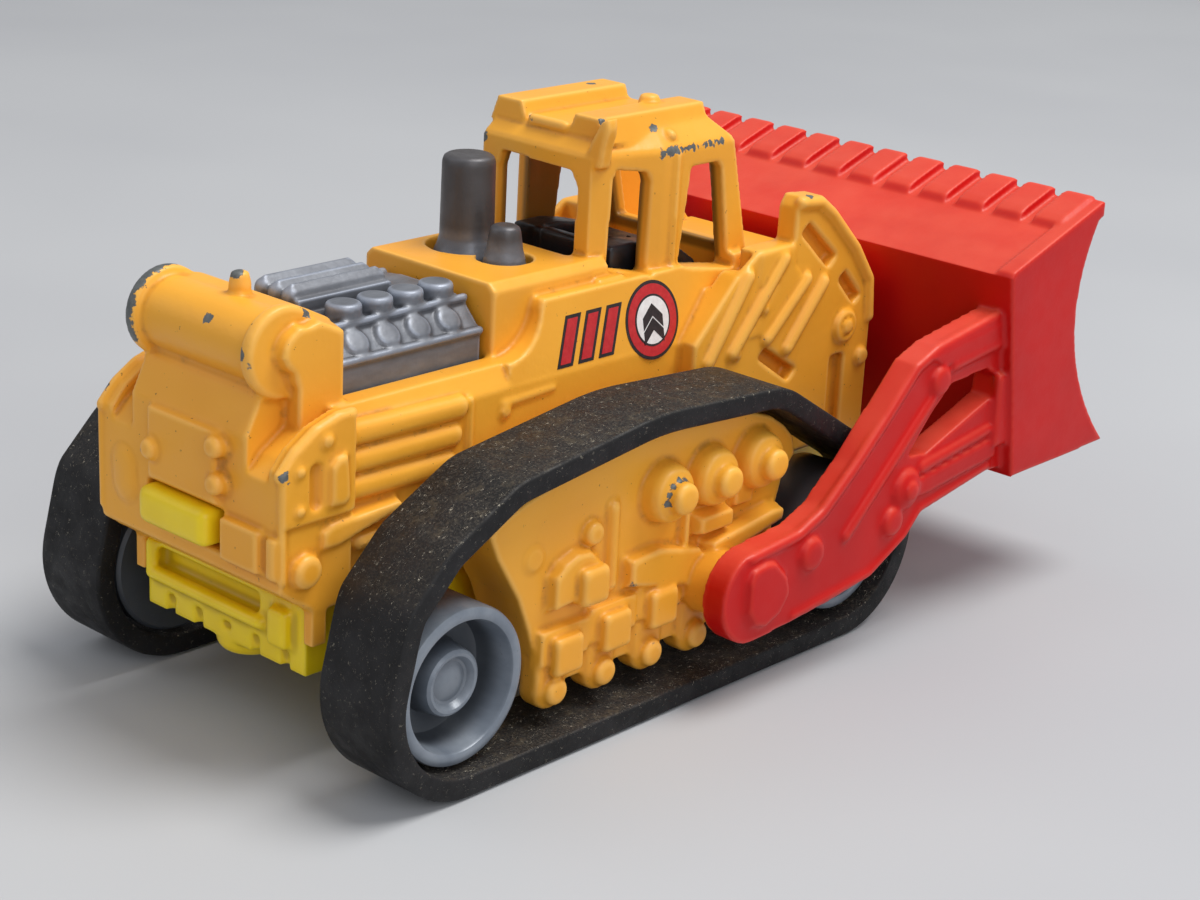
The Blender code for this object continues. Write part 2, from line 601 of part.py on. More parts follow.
def arm_solids():
    """The beam with the pad over its pivot, two bars beside the window and round bosses."""
    pad = [(19.5, 5.9), (20.2, 4.9), (21.3, 4.6), (22.9, 5.1), (23.7, 6.2), (23.4, 7.8)]
    pad += [(22.3, 8.9), (21.0, 9.1), (19.8, 8.9), (19.5, 8.3)]
    upper = [(36.0, 18.5), (37.4, 17.4), (44.6, 18.3), (44.6, 19.8)]
    lower = [(33.6, 9.3), (36.4, 9.2), (44.6, 10.4), (44.6, 11.9), (36.0, 10.9)]
    low = ARM_OUT_X - 0.3
    solids = [prism(arm_outline(), "X", ARM_IN_X, ARM_OUT_X)]
    solids += [prism(outline, "X", low, ARM_OUT_X + 0.35) for outline in (pad, upper, lower)]
    for y, z, radius in ((25.6, 8.3, 1.05), (34.85, 10.2, 1.3), (37.4, 16.8, 0.95), (33.6, 8.4, 0.95)):
        solids.append(cylinder("X", (y, z), radius, low, ARM_OUT_X + 0.5, 12))
    return solids


def arm_gap():
    """The slim window between the arm's two branches."""
    outline = [(34.9, 12.3), (37.0, 14.6), (38.9, 16.2), (42.8, 16.5), (43.9, 15.8), (43.6, 14.4)]
    return prism(outline + [(36.9, 12.1)], "X", ARM_IN_X - 1, ARM_OUT_X + 1)


def scoop_outline():
    """The hollow of the blade: the inside of its sheets, open to the front."""
    curve = [(60.0, 27.6), (53.0, 24.9), (47.6, 23.0)]
    curve += arc((47.4, 20.4), 2.6, 100, 185, 4)
    curve += [(45.6, 13.6)]
    curve += arc((48.9, 13.3), 3.2, 195, 265, 4)
    curve += [(52.0, 9.9), (60.0, 10.0)]
    return curve


def blade_outline():
    front = []
    for i in range(9):
        t = i / 8
        bow = 4 * t * (1 - t)
        y = BLADE_LIP[0] + (BLADE_TIP[0] - BLADE_LIP[0]) * t
        z = BLADE_LIP[1] + (BLADE_TIP[1] - BLADE_LIP[1]) * t
        front.append((y - bow * BLADE_BOW, z))
    return [BLADE_CREASE, BLADE_HEEL, *front]


def tooth_solids():
    """Low bars along the blade's top edge, and the rims of its two ends."""
    y, z = BLADE_TIP
    outline = [(y + 0.1, z + 0.35), (y - 0.3, z + 0.45), (y - 3.2, z - 0.5), (y - 3.8, z - 0.8)]
    outline += [(y - 4.05, z - 1.2), (y - 4.05, z - 1.8), (y - 0.2, z - 0.4)]
    rim = [BLADE_CREASE, (BLADE_CREASE[0] + 0.2, BLADE_CREASE[1] + 0.35), (y - 0.1, z + 0.3), (y, z - 0.8)]
    teeth = both_sides(prism(rim, "X", BLADE_X - BLADE_WALL, BLADE_X))
    for i in range(TOOTH_COUNT):
        x = (i - (TOOTH_COUNT - 1) / 2) * TOOTH_PITCH
        teeth.append(prism(outline, "X", x - TOOTH_WIDTH / 2, x + TOOTH_WIDTH / 2))
    return teeth


def blade_and_arms(look):
    plate = prism(blade_outline(), "X", -BLADE_X, BLADE_X)
    inside = prism(scoop_outline(), "X", BLADE_WALL - BLADE_X, BLADE_X - BLADE_WALL)
    bore = cylinder("X", PIVOT, PEG_R + GAP, ARM_IN_X - 1, ARM_IN_X + 1.0, 20)
    solids = [plate, *tooth_solids()]
    for solid in arm_solids():
        solids += both_sides(solid)
    cuts = [inside, *both_sides(bore), *both_sides(arm_gap())]
    piece("blade_and_arms", look, solids, cuts, origin=(0, *PIVOT))


def build():
    clear_scene()
    paint = material("yellow_paint", (0.86, 0.42, 0.045), 0.3)
    lime = material("lime_plastic", (0.62, 0.55, 0.02), 0.35)
    silver = material("silver_plastic", (0.28, 0.29, 0.31), 0.35, 0.4)
    black = material("black_plastic", (0.015, 0.015, 0.017), 0.45)
    rubber = material("black_rubber", (0.012, 0.012, 0.012), 0.75)
    grey = material("grey_plastic", (0.26, 0.3, 0.36), 0.4)
    steel = material("steel", (0.55, 0.55, 0.56), 0.3, 1.0)
    red = material("red_plastic", (0.75, 0.03, 0.02), 0.3)
    body_casting(paint)
    base_plate(lime)
    engine_insert(silver)
    cab_interior(black)
    for label, side in (("left", -1), ("right", 1)):
        track_frame(f"track_frame_{label}", side, paint)
        track_belt(f"track_belt_{label}", side, rubber)
        wheel(f"rear_wheel_{label}", side, REAR_AXLE, grey)
        wheel(f"front_wheel_{label}", side, FRONT_AXLE, grey)
    axle_pin("rear_axle", REAR_AXLE, steel)
    axle_pin("front_axle", FRONT_AXLE, steel)
    blade_and_arms(red)


build()
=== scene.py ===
"""Looks of the toy bulldozer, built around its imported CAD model.

Shapes are made in millimetres in the vehicle's own axes, as in the CAD: x to its right,
y forward from the rear axle, z up from the ground. Finished meshes are moved into the frame.
"""
import json
import math

import bmesh
import bpy
import numpy as np
from mathutils import Color, Matrix, Vector
from mathutils.geometry import convex_hull_2d


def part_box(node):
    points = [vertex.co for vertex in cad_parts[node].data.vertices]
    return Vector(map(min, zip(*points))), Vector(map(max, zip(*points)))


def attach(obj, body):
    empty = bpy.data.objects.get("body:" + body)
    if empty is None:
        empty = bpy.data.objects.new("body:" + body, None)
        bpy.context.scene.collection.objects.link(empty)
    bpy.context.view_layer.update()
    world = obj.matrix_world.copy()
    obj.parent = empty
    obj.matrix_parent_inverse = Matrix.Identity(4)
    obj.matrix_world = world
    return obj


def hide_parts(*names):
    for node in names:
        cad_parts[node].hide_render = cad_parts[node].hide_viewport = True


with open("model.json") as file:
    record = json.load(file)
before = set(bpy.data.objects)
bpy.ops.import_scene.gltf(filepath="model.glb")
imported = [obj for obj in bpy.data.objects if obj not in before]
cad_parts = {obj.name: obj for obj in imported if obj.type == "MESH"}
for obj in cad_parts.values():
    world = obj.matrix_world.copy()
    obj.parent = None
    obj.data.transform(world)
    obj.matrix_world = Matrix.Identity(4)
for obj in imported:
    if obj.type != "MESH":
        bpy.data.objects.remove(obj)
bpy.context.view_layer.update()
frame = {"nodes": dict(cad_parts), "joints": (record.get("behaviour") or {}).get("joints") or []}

MM = 0.001
JOINTS = {joint["name"]: Vector(joint["pos_m"]) for joint in frame["joints"]}
ORIGIN = Vector((0, JOINTS["rear_right_spin"].y, 0))


def box_mm(node):
    """Lowest and highest corner of a CAD node, in the vehicle's millimetres."""
    return [(corner - ORIGIN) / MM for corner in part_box(node)]


def joint_mm(name):
    return (JOINTS[name] - ORIGIN) / MM


# Sizes taken from the frame
BELT_LOW, BELT_HIGH = box_mm("track_belt_right")
WHEEL_LOW, WHEEL_HIGH = box_mm("rear_wheel_right")
AXLE_Z = joint_mm("rear_right_spin").z
AXLE_SPACING = joint_mm("front_right_spin").y
PIVOT = (joint_mm("blade_lift").y, joint_mm("blade_lift").z)
WHEEL_R = (WHEEL_HIGH.z - WHEEL_LOW.z) / 2
BLADE_X = box_mm("blade_and_arms")[1].x

# Body casting
REAR_Y = -7.2
NOSE_Y = 42.3
BODY_BOTTOM = 9.7
POST_X = 8.0
POST_IN_X = 4.9
POST_RIM_X = 6.7
POST_TOP = [(-2.2, 20.6), (-3.2, 20.6), (-4.8, 20.1), (-6.2, 19.2), (REAR_Y, 18.1)]
HULL_X = 7.2
RAIL_X = 6.4
RAIL_Z = 20.5
PANEL_X = 6.3
PANEL_Z = 23.6
HOOD_X = 5.4
HOOD_REAR = 10.3
HOOD_Z = 24.8
FENDER_X = 8.8
FENDER_IN_X = 6.9
# Foot and top of each slanting rib, as (y, z)
FENDER_RIBS = (((25.8, 17.9), (29.2, 22.8)), ((28.1, 18.1), (32.6, 23.4)),
               ((31.4, 18.4), (35.0, 21.7)), ((33.5, 17.4), (36.8, 21.2)))
DECK_Z = 21.4
WELL_X = 5.0
WELL_REAR = -1.0
DRUM_Y = -4.8
DRUM_Z = 23.7
DRUM_R = 2.05
FLANGE_R = 2.5
FLANGE_X = 5.3

# Cab
CAB_REAR = 18.9
CAB_CORNER_Y = 24.0
CAB_FRONT = 30.4
CAB_FOOT_Y = 32.8
CAB_REAR_X = 4.5
CAB_SIDE_X = 5.8
CAB_EAVE_Z = 30.4
CAB_TOP_Z = 32.6
CAB_WALL = 1.1
CAB_FLOOR_Z = 21.0

# Stacks: x, y, radius, top
BIG_STACK = (-2.1, 15.4, 1.65, 30.3)
SMALL_STACK = (1.5, 15.0, 1.1, 26.8)

# Track frames and belts
FRAME_IN_X = 9.2
FRAME_OUT_X = 13.2
STUDS = ((16.7, 13.2), (20.7, 13.3), (24.9, 13.4))
BELT_THICK = 1.3
BELT_GUIDES = [
    (0.0, AXLE_Z, AXLE_Z, 90, 280),
    (-0.4, 9.6, 5.0, 150, 175),
    (0.4, 11.6, 4.0, 120, 150),
    (4.2, 13.6, 4.0, 85, 120),
    (15.0, -1.1, 20.0, 78, 102),
    (23.4, 12.2, 6.2, 45, 85),
    (AXLE_SPACING, AXLE_Z, AXLE_Z, -100, 90),
]

# Blade and arms
ARM_IN_X = 15.9
ARM_OUT_X = 17.6
ARM_END_R = 2.9
BLADE_TIP = (53.4, 25.8)
BLADE_CREASE = (43.2, 22.5)
BLADE_HEEL = (45.6, 8.7)
BLADE_LIP = (56.5, 8.9)
BLADE_BOW = 3.5
BLADE_WALL = 1.3
TOOTH_COUNT = 12
TOOTH_PITCH = 3.0
TOOTH_WIDTH = 2.1

# Fineness of the soft-edged castings
BODY_VOXEL = 0.14
FINE_VOXEL = 0.13
MAX_FACES = 170_000


# Shapes


def placed(axis, u, v, t):
    """A point from two coordinates across an axis and one along it."""
    return Vector({"X": (t, u, v), "Y": (u, t, v), "Z": (u, v, t)}[axis])


def skinned(outlines, capped=True):
    """A solid whose skin runs through matching outlines, with its ends filled or joined in a loop."""
    shape = bmesh.new()
    rings = [[shape.verts.new(point) for point in outline] for outline in outlines]
    if capped:
        shape.faces.new(rings[0])
        shape.faces.new(rings[-1])
    else:
        rings.append(rings[0])
    for low, high in zip(rings, rings[1:]):
        for i in range(len(low)):
            j = (i + 1) % len(low)
            shape.faces.new((low[i], low[j], high[j], high[i]))
    bmesh.ops.recalc_face_normals(shape, faces=shape.faces)
    return shape


def prism(outline, axis, low, high):
    return skinned([[placed(axis, u, v, t) for u, v in outline] for t in (low, high)])


def rectangle(low, high):
    return [low, (high[0], low[1]), high, (low[0], high[1])]


def box(low, high):
    return prism(rectangle(low[:2], high[:2]), "Z", low[2], high[2])


def soft_box(low, high, radius):
    """A box whose edges are all rounded."""
    shape = box(low, high)
    bmesh.ops.bevel(shape, geom=shape.edges[:], offset=radius, segments=3, profile=0.5, affect="EDGES")
    return shape


def arc(centre, radius, start, end, steps):
    points = []
    for i in range(steps + 1):
        angle = math.radians(start + (end - start) * i / steps)
        points.append((centre[0] + radius * math.cos(angle), centre[1] + radius * math.sin(angle)))
    return points


def circle(centre, radius, sides):
    return arc(centre, radius, 0, 360 - 360 / sides, sides - 1)


def cylinder(axis, centre, radius, low, high, sides=28):
    return prism(circle(centre, radius, sides), axis, low, high)


def turned(axis, centre, profile, sides=40):
    """A closed solid of revolution from (radius, distance along the axis) pairs."""
    shape = bmesh.new()
    rings = []
    for radius, t in profile:
        outline = circle(centre, radius, sides) if radius else [centre]
        rings.append([shape.verts.new(placed(axis, u, v, t)) for u, v in outline])
    for first, second in zip(rings, rings[1:]):
        for i in range(sides):
            j = (i + 1) % sides
            corners = [first[i % len(first)], first[j % len(first)]]
            corners += [second[j % len(second)], second[i % len(second)]]
            unique = list(dict.fromkeys(corners))
            if len(unique) > 2:
                shape.faces.new(unique)
    bmesh.ops.recalc_face_normals(shape, faces=shape.faces)
    return shape


def dome(axis, centre, radius, base, height, sides=24):
    """A rounded boss that stands on a face: the sign of height says which way."""
    curve = arc((0, 0), 1, 0, 90, 5)[:-1]
    profile = [(radius * u, base + height * v) for u, v in curve]
    return turned(axis, centre, [(0, base), *profile, (0, base + height)], sides)


def boss(axis, centre, radius, base, height, sides=24):
    """A short peg with a rounded rim."""
    profile = [(0, base), (radius, base), (radius, base + 0.7 * height)]
    profile += [(0.8 * radius, base + 0.95 * height), (0.5 * radius, base + height), (0, base + height)]
    return turned(axis, centre, profile, sides)


def capsule(start, end, radius, flat=1.0, axis="X"):
    """A rib with round ends from one point to another, flattened along an axis."""
    start, end = Vector(start), Vector(end)
    shape = bmesh.new()
    bmesh.ops.create_uvsphere(shape, u_segments=16, v_segments=11, radius=radius)
    for vertex in shape.verts:
        if vertex.co.z > 0:
            vertex.co.z += (end - start).length
    turn = (end - start).to_track_quat("Z", "Y").to_matrix().to_4x4()
    squeeze = Matrix.Diagonal([flat if name == axis else 1 for name in "XYZ"] + [1])
    shape.transform(Matrix.Translation(start) @ squeeze @ turn)
    return shape


def tilted(shape, degrees, place):
    """A shape leant sideways about the origin, then moved to its place."""
    shape.transform(Matrix.Translation(place) @ Matrix.Rotation(math.radians(degrees), 4, "Y"))
    return shape


def mirrored(shape):
    copy = shape.copy()
    copy.transform(Matrix.Diagonal((-1, 1, 1, 1)))
    bmesh.ops.reverse_faces(copy, faces=copy.faces)
    return copy


def both_sides(*shapes):
    return [made for shape in shapes for made in (shape, mirrored(shape))]


def sided(shape, side):
    return shape if side > 0 else mirrored(shape)


def pad(axis, outline, base, height, inset):
    """A raised panel whose sides slope in towards its face."""
    middle = [sum(p[i] for p in outline) / len(outline) for i in (0, 1)]
    top = []
    for point in outline:
        away = [point[i] - middle[i] for i in (0, 1)]
        top.append([middle[i] + away[i] - math.copysign(min(inset, abs(away[i])), away[i]) for i in (0, 1)])
    levels = ((outline, base), (top, base + height))
    return skinned([[placed(axis, u, v, t) for u, v in ring] for ring, t in levels])


def ribs(x, line, radius):
    """Round ribs along a line of (y, z) points."""
    return [capsule((x, *start), (x, *end), radius) for start, end in zip(line, line[1:])]


def mirror_closed(half):
    """An outline from the half of it that lies to the right, bottom first."""
    return half + [(-u, v) for u, v in reversed(half)]


# From shapes to objects


def plain_object(name, shape):
    return linked(name, mesh_of(name, shape))


def linked(name, data):
    obj = bpy.data.objects.new(name, data)
    bpy.context.scene.collection.objects.link(obj)
    return obj


def mesh_of(name, shape):
    mesh = bpy.data.meshes.new(name)
    shape.to_mesh(mesh)
    shape.free()
    return mesh


def joined(shapes):
    """Several shapes in one bmesh, overlapping as they are."""
    whole = bmesh.new()
    for shape in shapes:
        mesh = mesh_of("part", shape)
        whole.from_mesh(mesh)
        bpy.data.meshes.remove(mesh)
    return whole


def evaluated_mesh(obj):
    """The mesh that an object's modifiers make. The object is removed."""
    graph = bpy.context.evaluated_depsgraph_get()
    mesh = bpy.data.meshes.new_from_object(obj.evaluated_get(graph))
    removed(obj)
    return mesh


def removed(obj):
    mesh = obj.data
    bpy.data.objects.remove(obj)
    bpy.data.meshes.remove(mesh)


def cut_mesh(solids, cuts):
    """The solids joined exactly, less the cuts."""
    obj = plain_object("rough", solids[0])
    tools = []
    for operation, shapes in (("UNION", solids[1:]), ("DIFFERENCE", cuts)):
        if not shapes:
            continue
        group = bpy.data.collections.new(operation)
        for shape in shapes:
            tool = plain_object("tool", shape)
            bpy.context.scene.collection.objects.unlink(tool)
            group.objects.link(tool)
            tools.append(tool)
        modifier = obj.modifiers.new(operation, "BOOLEAN")
        modifier.operation = operation
        modifier.solver = "EXACT"
        modifier.operand_type = "COLLECTION"
        modifier.collection = group
    mesh = evaluated_mesh(obj)
    for tool in tools:
        removed(tool)
    return mesh


def mark_edges(mesh):
    """Stores in "edge" how far each vertex stands out: 0 in a hollow, 0.5 on a flat, 1 on an edge."""
    count = len(mesh.vertices)

    def read(items, name, width, kind=float):
        values = np.empty(len(items) * width, kind)
        items.foreach_get(name, values)
        return values.reshape(-1, width)

    points = read(mesh.vertices, "co", 3)
    normals = read(mesh.vertices, "normal", 3)
    ends = read(mesh.edges, "vertices", 2, np.int32)
    first, second = ends.T
    degree = np.bincount(ends.ravel(), minlength=count)

    def around(values):
        return np.bincount(first, values[second], count) + np.bincount(second, values[first], count)

    mean = np.stack([around(points[:, i]) for i in range(3)], 1) / degree[:, None]
    out = np.einsum("ij,ij->i", points - mean, normals)
    for _ in range(4):
        out = 0.5 * out + 0.5 * around(out) / degree
    spread = np.percentile(np.abs(out), 97) + 1e-9
    value = np.clip(0.5 + 0.5 * out / spread, 0, 1)
    mesh.attributes.new("edge", "FLOAT", "POINT").data.foreach_set("value", value.astype(np.float32))


def cast(name, solids, cuts=(), extras=(), voxel=BODY_VOXEL, soften=5, faces=MAX_FACES):
    """One moulded piece: shapes joined, cut and remeshed, so that its edges and corners are
    rounded as a mould leaves them. Extras are added after the cuts."""
    mesh = cut_mesh(solids, cuts)
    whole = joined(extras)
    whole.from_mesh(mesh)
    bpy.data.meshes.remove(mesh)
    obj = plain_object(name, whole)
    remesh = obj.modifiers.new("remesh", "REMESH")
    remesh.mode = "VOXEL"
    remesh.voxel_size = voxel
    smooth = obj.modifiers.new("soften", "SMOOTH")
    smooth.factor = 0.5
    smooth.iterations = soften
    mesh = evaluated_mesh(obj)
    mark_edges(mesh)
    triangles = 2 * len(mesh.polygons)
    if triangles > faces:
        obj = linked(name, mesh)
        obj.modifiers.new("fewer", "DECIMATE").ratio = faces / triangles
        mesh = evaluated_mesh(obj)
    return settled(name, mesh)


def settled(name, mesh):
    """An object of the frame from a mesh in the vehicle's millimetres."""
    mesh.transform(Matrix.Translation(ORIGIN) @ Matrix.Scale(MM, 4))
    mesh.name = name
    mesh.shade_smooth()
    return linked(name, mesh)


def smooth_solid(name, shape, sharp=40):
    """A piece made directly: a shape with its sharp edges kept."""
    obj = settled(name, mesh_of(name, shape))
    obj.data.set_sharp_from_angle(angle=math.radians(sharp))
    return obj


def finished(obj, look, slot, *nodes, body="root"):
    """Gives a piece its material and its body, and hides the CAD nodes it stands for."""
    obj.data.materials.clear()
    obj.data.materials.append(look)
    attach(obj, body)
    if nodes:
        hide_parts(*nodes)


# Body casting


def rear_solids():
    """The tail between two posts, whose tops climb forward to the rail."""
    side = [(REAR_Y, 11.4), (REAR_Y, 19.4), (-6.2, 21.5), (-2.2, 21.5), (-2.2, BODY_BOTTOM)]
    side.append((-4.8, BODY_BOTTOM))
    foot = [(REAR_Y, 11.4), (-4.8, BODY_BOTTOM), (-2.2, BODY_BOTTOM)]
    outer = prism(foot + POST_TOP, "X", POST_RIM_X, POST_X)
    inner = prism(foot + [(y, z - 0.75) for y, z in POST_TOP], "X", POST_IN_X - 1, POST_RIM_X + 0.1)
    return [prism(side, "X", -POST_IN_X, POST_IN_X), *both_sides(outer, inner)]


def rear_cuts():
    """The step across each flank, the recess beside its pad and the slot for the lime block."""
    step = box((POST_X - 0.25, REAR_Y - 1, 8.0), (POST_X + 1, -2.0, 15.1))
    recess = capsule((POST_X + 0.1, -4.95, 16.1), (POST_X + 0.1, -4.95, 17.9), 0.5)
    slot = box((-3.6, REAR_Y - 1, 12.3), (3.1, REAR_Y + 2, 14.8))
    return [slot, *both_sides(step, recess)]


def rear_extras():
    back = REAR_Y + 0.3
    extras = [
        pad("Y", rectangle((-3.2, 14.9), (3.0, 19.45)), back, -0.75, 0.25),
        pad("Y", rectangle((3.2, 12.1), (6.5, 14.75)), back, -0.85, 0.15),
        pad("Y", rectangle((6.9, 12.1), (7.75, 14.6)), back, -0.75, 0.1),
        box((3.4, -7.3, 12.2), (7.6, -7.0, 14.6)),
    ]
    for x, z, radius in ((-2.55, 16.9, 0.62), (2.95, 18.5, 0.62), (3.0, 16.4, 0.6)):
        extras.append(boss("Y", (x, z), radius, REAR_Y, -0.95))
    extras.append(capsule((-5.6, REAR_Y, 15.1), (-5.5, REAR_Y, 13.9), 1.05, 0.3, "Y"))
    extras += both_sides(*ribs(7.6, [(y, z - 0.1) for y, z in POST_TOP], 0.33))
    return extras + both_sides(*ribs(7.75, [(REAR_Y + 0.1, 12.0), (REAR_Y + 0.1, 18.0)], 0.22))


def drum_extras():
    """The winch drum, its flanges and the cowl and cheeks between it and the engine."""
    cowl = [(DRUM_Y, 20.4), (DRUM_Y, DRUM_Z + DRUM_R - 0.1), (-2.8, 25.6), (-1.2, 24.8), (-1.2, 19.8)]
    rim = ((-0.12, 0.0), (0.05, 0.15), (0.05, 0.7), (-0.1, 0.85))
    half = [(FLANGE_R + out, along - FLANGE_X) for out, along in rim]
    half = [(0, -FLANGE_X), *half, (DRUM_R, 0.95 - FLANGE_X)]
    profile = half + [(radius, -t) for radius, t in reversed(half)]
    cheek = arc((DRUM_Y + 0.5, DRUM_Z + 0.15), 1.6, 70, 240, 12)
    cheek += [(-4.5, 21.6), (-4.6, 19.0), (-1.15, 19.0), (-1.15, 24.8), (-2.8, 25.55)]
    return [
        prism(cowl, "X", -4.6, 4.6),
        turned("X", (DRUM_Y, DRUM_Z), profile, 64),
        *both_sides(pad("X", cheek, 4.0, 2.1, 0.3)),
        boss("Z", (0.5, -4.0), 0.62, 24.6, 2.4),
        prism([(-6.0, 20.9), (-6.0, 22.6), (-3.0, 22.6), (-3.0, 20.9)], "X", -4.6, 4.6),
    ]


def side_extras():
    """Raised pad, rivets, long ribs, foot and ball on each rear flank."""
    raised = [(-4.3, 15.6), (-4.3, 18.2), (-3.9, 18.6), (-2.8, 18.7), (-2.6, 15.8), (-2.9, 15.5)]
    foot = [(-4.6, 13.1), (-4.6, 14.5), (-4.0, 14.8), (1.4, 15.0), (1.6, 14.6), (0.4, 14.0), (-3.6, 13.1)]
    extras = [pad("X", raised, POST_X - 0.3, 0.65, 0.25), pad("X", foot, HULL_X - 0.4, 1.25, 0.25)]
    for y, z, radius in ((-4.25, 19.45, 0.36), (-6.1, 18.1, 0.28), (-6.1, 15.9, 0.28)):
        extras.append(boss("X", (y, z), radius, POST_X - 0.2, 0.45))
    for i in range(3):
        z = 19.15 - 1.55 * i
        end = 6.0 - 0.4 * i
        extras.append(capsule((7.15, -2.4, z + 0.08), (7.15, end, z - 0.1), 0.62))
        extras.append(capsule((7.25, -2.4, z - 0.15), (7.2, end, z - 0.3), 0.55))
    extras += [
        boss("X", (-5.6, 12.4), 0.95, POST_X - 0.4, 0.8),
        box((HULL_X - 0.2, -6.2, 10.6), (POST_X - 0.25, -2.2, 14.0)),
        box((6.9, -4.9, 7.7), (7.7, -3.9, 11.0)),
        capsule((7.2, 6.9, 16.2), (7.2, 6.9, 19.2), 0.25),
        boss("X", (9.7, 17.9), 0.4, HULL_X - 0.2, 0.45),
        capsule((7.1, 9.6, 18.35), (7.05, 13.6, 18.5), 0.3),
        capsule((7.35, -1.4, 12.9), (7.35, 2.4, 13.0), 0.5),
    ]
    return both_sides(*extras)


def hull_solids():
    section = mirror_closed([(HULL_X, BODY_BOTTOM), (HULL_X, 19.2), (RAIL_X, RAIL_Z)])
    return [prism(section, "Y", -2.6, NOSE_Y - 1.0)]


def flank_x(z):
    """Half the width of the side panel, which leans in towards its top."""
    return HULL_X + (PANEL_X - HULL_X) * (z - 19.0) / (PANEL_Z - 19.0)


def shoulder_solids():
    """The raised sides under the cab, with a hollow curve up from the rail."""
    outline = [(10.2, 19.0), (10.2, RAIL_Z)]
    outline += arc((10.2, PANEL_Z), PANEL_Z - RAIL_Z, -80, -8, 8)
    outline += [(13.5, PANEL_Z), (31.4, PANEL_Z), (31.4, 19.0)]
    panel = prism(outline, "X", -1, 1)
    for vertex in panel.verts:
        vertex.co.x *= flank_x(vertex.co.z)
    hood = mirror_closed([(HOOD_X, 19.0), (HOOD_X, HOOD_Z - 0.45), (HOOD_X - 0.5, HOOD_Z)])
    return [panel, prism(hood, "Y", HOOD_REAR, CAB_REAR + 1)]


def cab_outline(inset, front=CAB_FRONT):
    slope = inset * 0.25
    return mirror_closed([
        (CAB_REAR_X - slope, CAB_REAR + inset),
        (CAB_SIDE_X - inset, CAB_CORNER_Y + slope),
        (CAB_SIDE_X - inset, front - inset),
    ])


def lofted(*levels):
    """A closed solid through several outlines of (x, y), each with its own height."""
    return skinned([[(x, y, z) for x, y in outline] for outline, z in levels])


def cab_solids():
    """Walls whose front leans forward at the foot, and a roof with sloping sides."""
    walls = lofted((cab_outline(0, CAB_FOOT_Y), CAB_FLOOR_Z), (cab_outline(0), CAB_EAVE_Z + 0.3))
    roof = lofted((cab_outline(0), CAB_EAVE_Z), (cab_outline(0.1), CAB_EAVE_Z + 0.5),
                  (cab_outline(1.3), CAB_TOP_Z - 0.5))
    return [walls, roof]


def cab_cuts():
    low, high = cab_outline(CAB_WALL, CAB_FOOT_Y), cab_outline(CAB_WALL)
    inside = lofted((low, CAB_FLOOR_Z), (high, CAB_EAVE_Z + 0.2))
    rear = [(-3.3, 24.0), (3.3, 24.0), (3.4, 28.8), (2.9, 29.7), (-2.9, 29.9), (-3.3, 28.8)]
    windscreen = box((-4.3, CAB_FRONT - 2, 23.8), (4.3, CAB_FOOT_Y + 1, 29.5))
    side = [(25.7, 23.5), (30.4, 22.7), (29.3, 29.1), (28.9, 29.5), (26.5, 29.5)]
    corner = [(20.3, 24.0), (23.0, 23.4), (23.1, 29.0), (22.8, 29.6), (20.6, 29.9)]
    windows = both_sides(prism(side, "X", 4, 8), prism(corner, "X", 3.9, 8))
    return [inside, prism(rear, "Y", CAB_REAR - 0.5, CAB_REAR + 2), windscreen, *windows]


def cab_extras():
    """Roof ridges, beacon, rivets and the horn over the rear right corner."""
    low, high = CAB_TOP_Z - 1.2, CAB_TOP_Z + 0.35
    ridge = [(1.6, low), (4.8, low), (4.2, high), (2.2, high)]
    horn = [(3.9, 30.2), (4.2, 31.6), (5.0, 33.0), (5.5, 33.2), (5.6, 32.6), (5.3, 31.4), (5.1, 30.2)]
    return [
        *both_sides(
            prism(ridge, "Y", CAB_REAR + 0.8, CAB_FRONT - 1.3),
            capsule((5.75, CAB_CORNER_Y + 1.0, 22.8), (5.7, CAB_CORNER_Y + 1.1, 30.4), 0.3),
            box((4.6, CAB_REAR - 0.4, 22.9), (5.9, CAB_REAR + 1.8, 23.8)),
        ),
        prism(horn, "Y", CAB_REAR + 0.05, CAB_REAR + 1.0),
        boss("Z", (2.3, 26.2), 0.7, CAB_TOP_Z - 0.8, 1.6),
        dome("X", (25.0, 31.5), 0.4, 4.9, 0.7),
        capsule((-1.2, CAB_REAR + 0.9, 32.0), (1.4, CAB_REAR + 0.9, 32.0), 0.35),
    ]


def fender_solids():
    outline = [(24.6, 19.2), (28.2, 22.8), (30.2, 24.1), (33.65, 24.2), (33.7, 26.4), (34.2, 27.1)]
    outline += [(36.1, 26.9), (37.5, 25.9), (40.2, 23.2), (41.9, 20.9), (NOSE_Y, 19.6), (NOSE_Y, 10.0)]
    outline.append((24.6, 10.0))
    solids = both_sides(prism(outline, "X", FENDER_IN_X, FENDER_X - 0.3))
    solids.append(box((-FENDER_IN_X - 0.5, 30.6, BODY_BOTTOM), (FENDER_IN_X + 0.5, NOSE_Y, DECK_Z)))
    return solids


def fender_cuts():
    upper = [(34.3, 24.7), (35.1, 25.3), (38.1, 22.7), (37.3, 22.0)]
    lower = [(38.5, 21.0), (39.2, 21.5), (41.0, 19.6), (40.3, 19.1)]
    slot = [(30.8, 17.2), (31.5, 17.8), (34.7, 15.8), (34.0, 15.1)]
    foot = [(38.3, 10.4), (39.7, 10.4), (39.7, 15.9), (38.3, 15.9)]
    cuts = []
    for outline, depth in ((upper, 0.9), (lower, 0.9), (slot, 1.0), (foot, 0.7)):
        cuts += both_sides(prism(outline, "X", FENDER_X - 0.3 - depth, FENDER_X + 1))
    return cuts


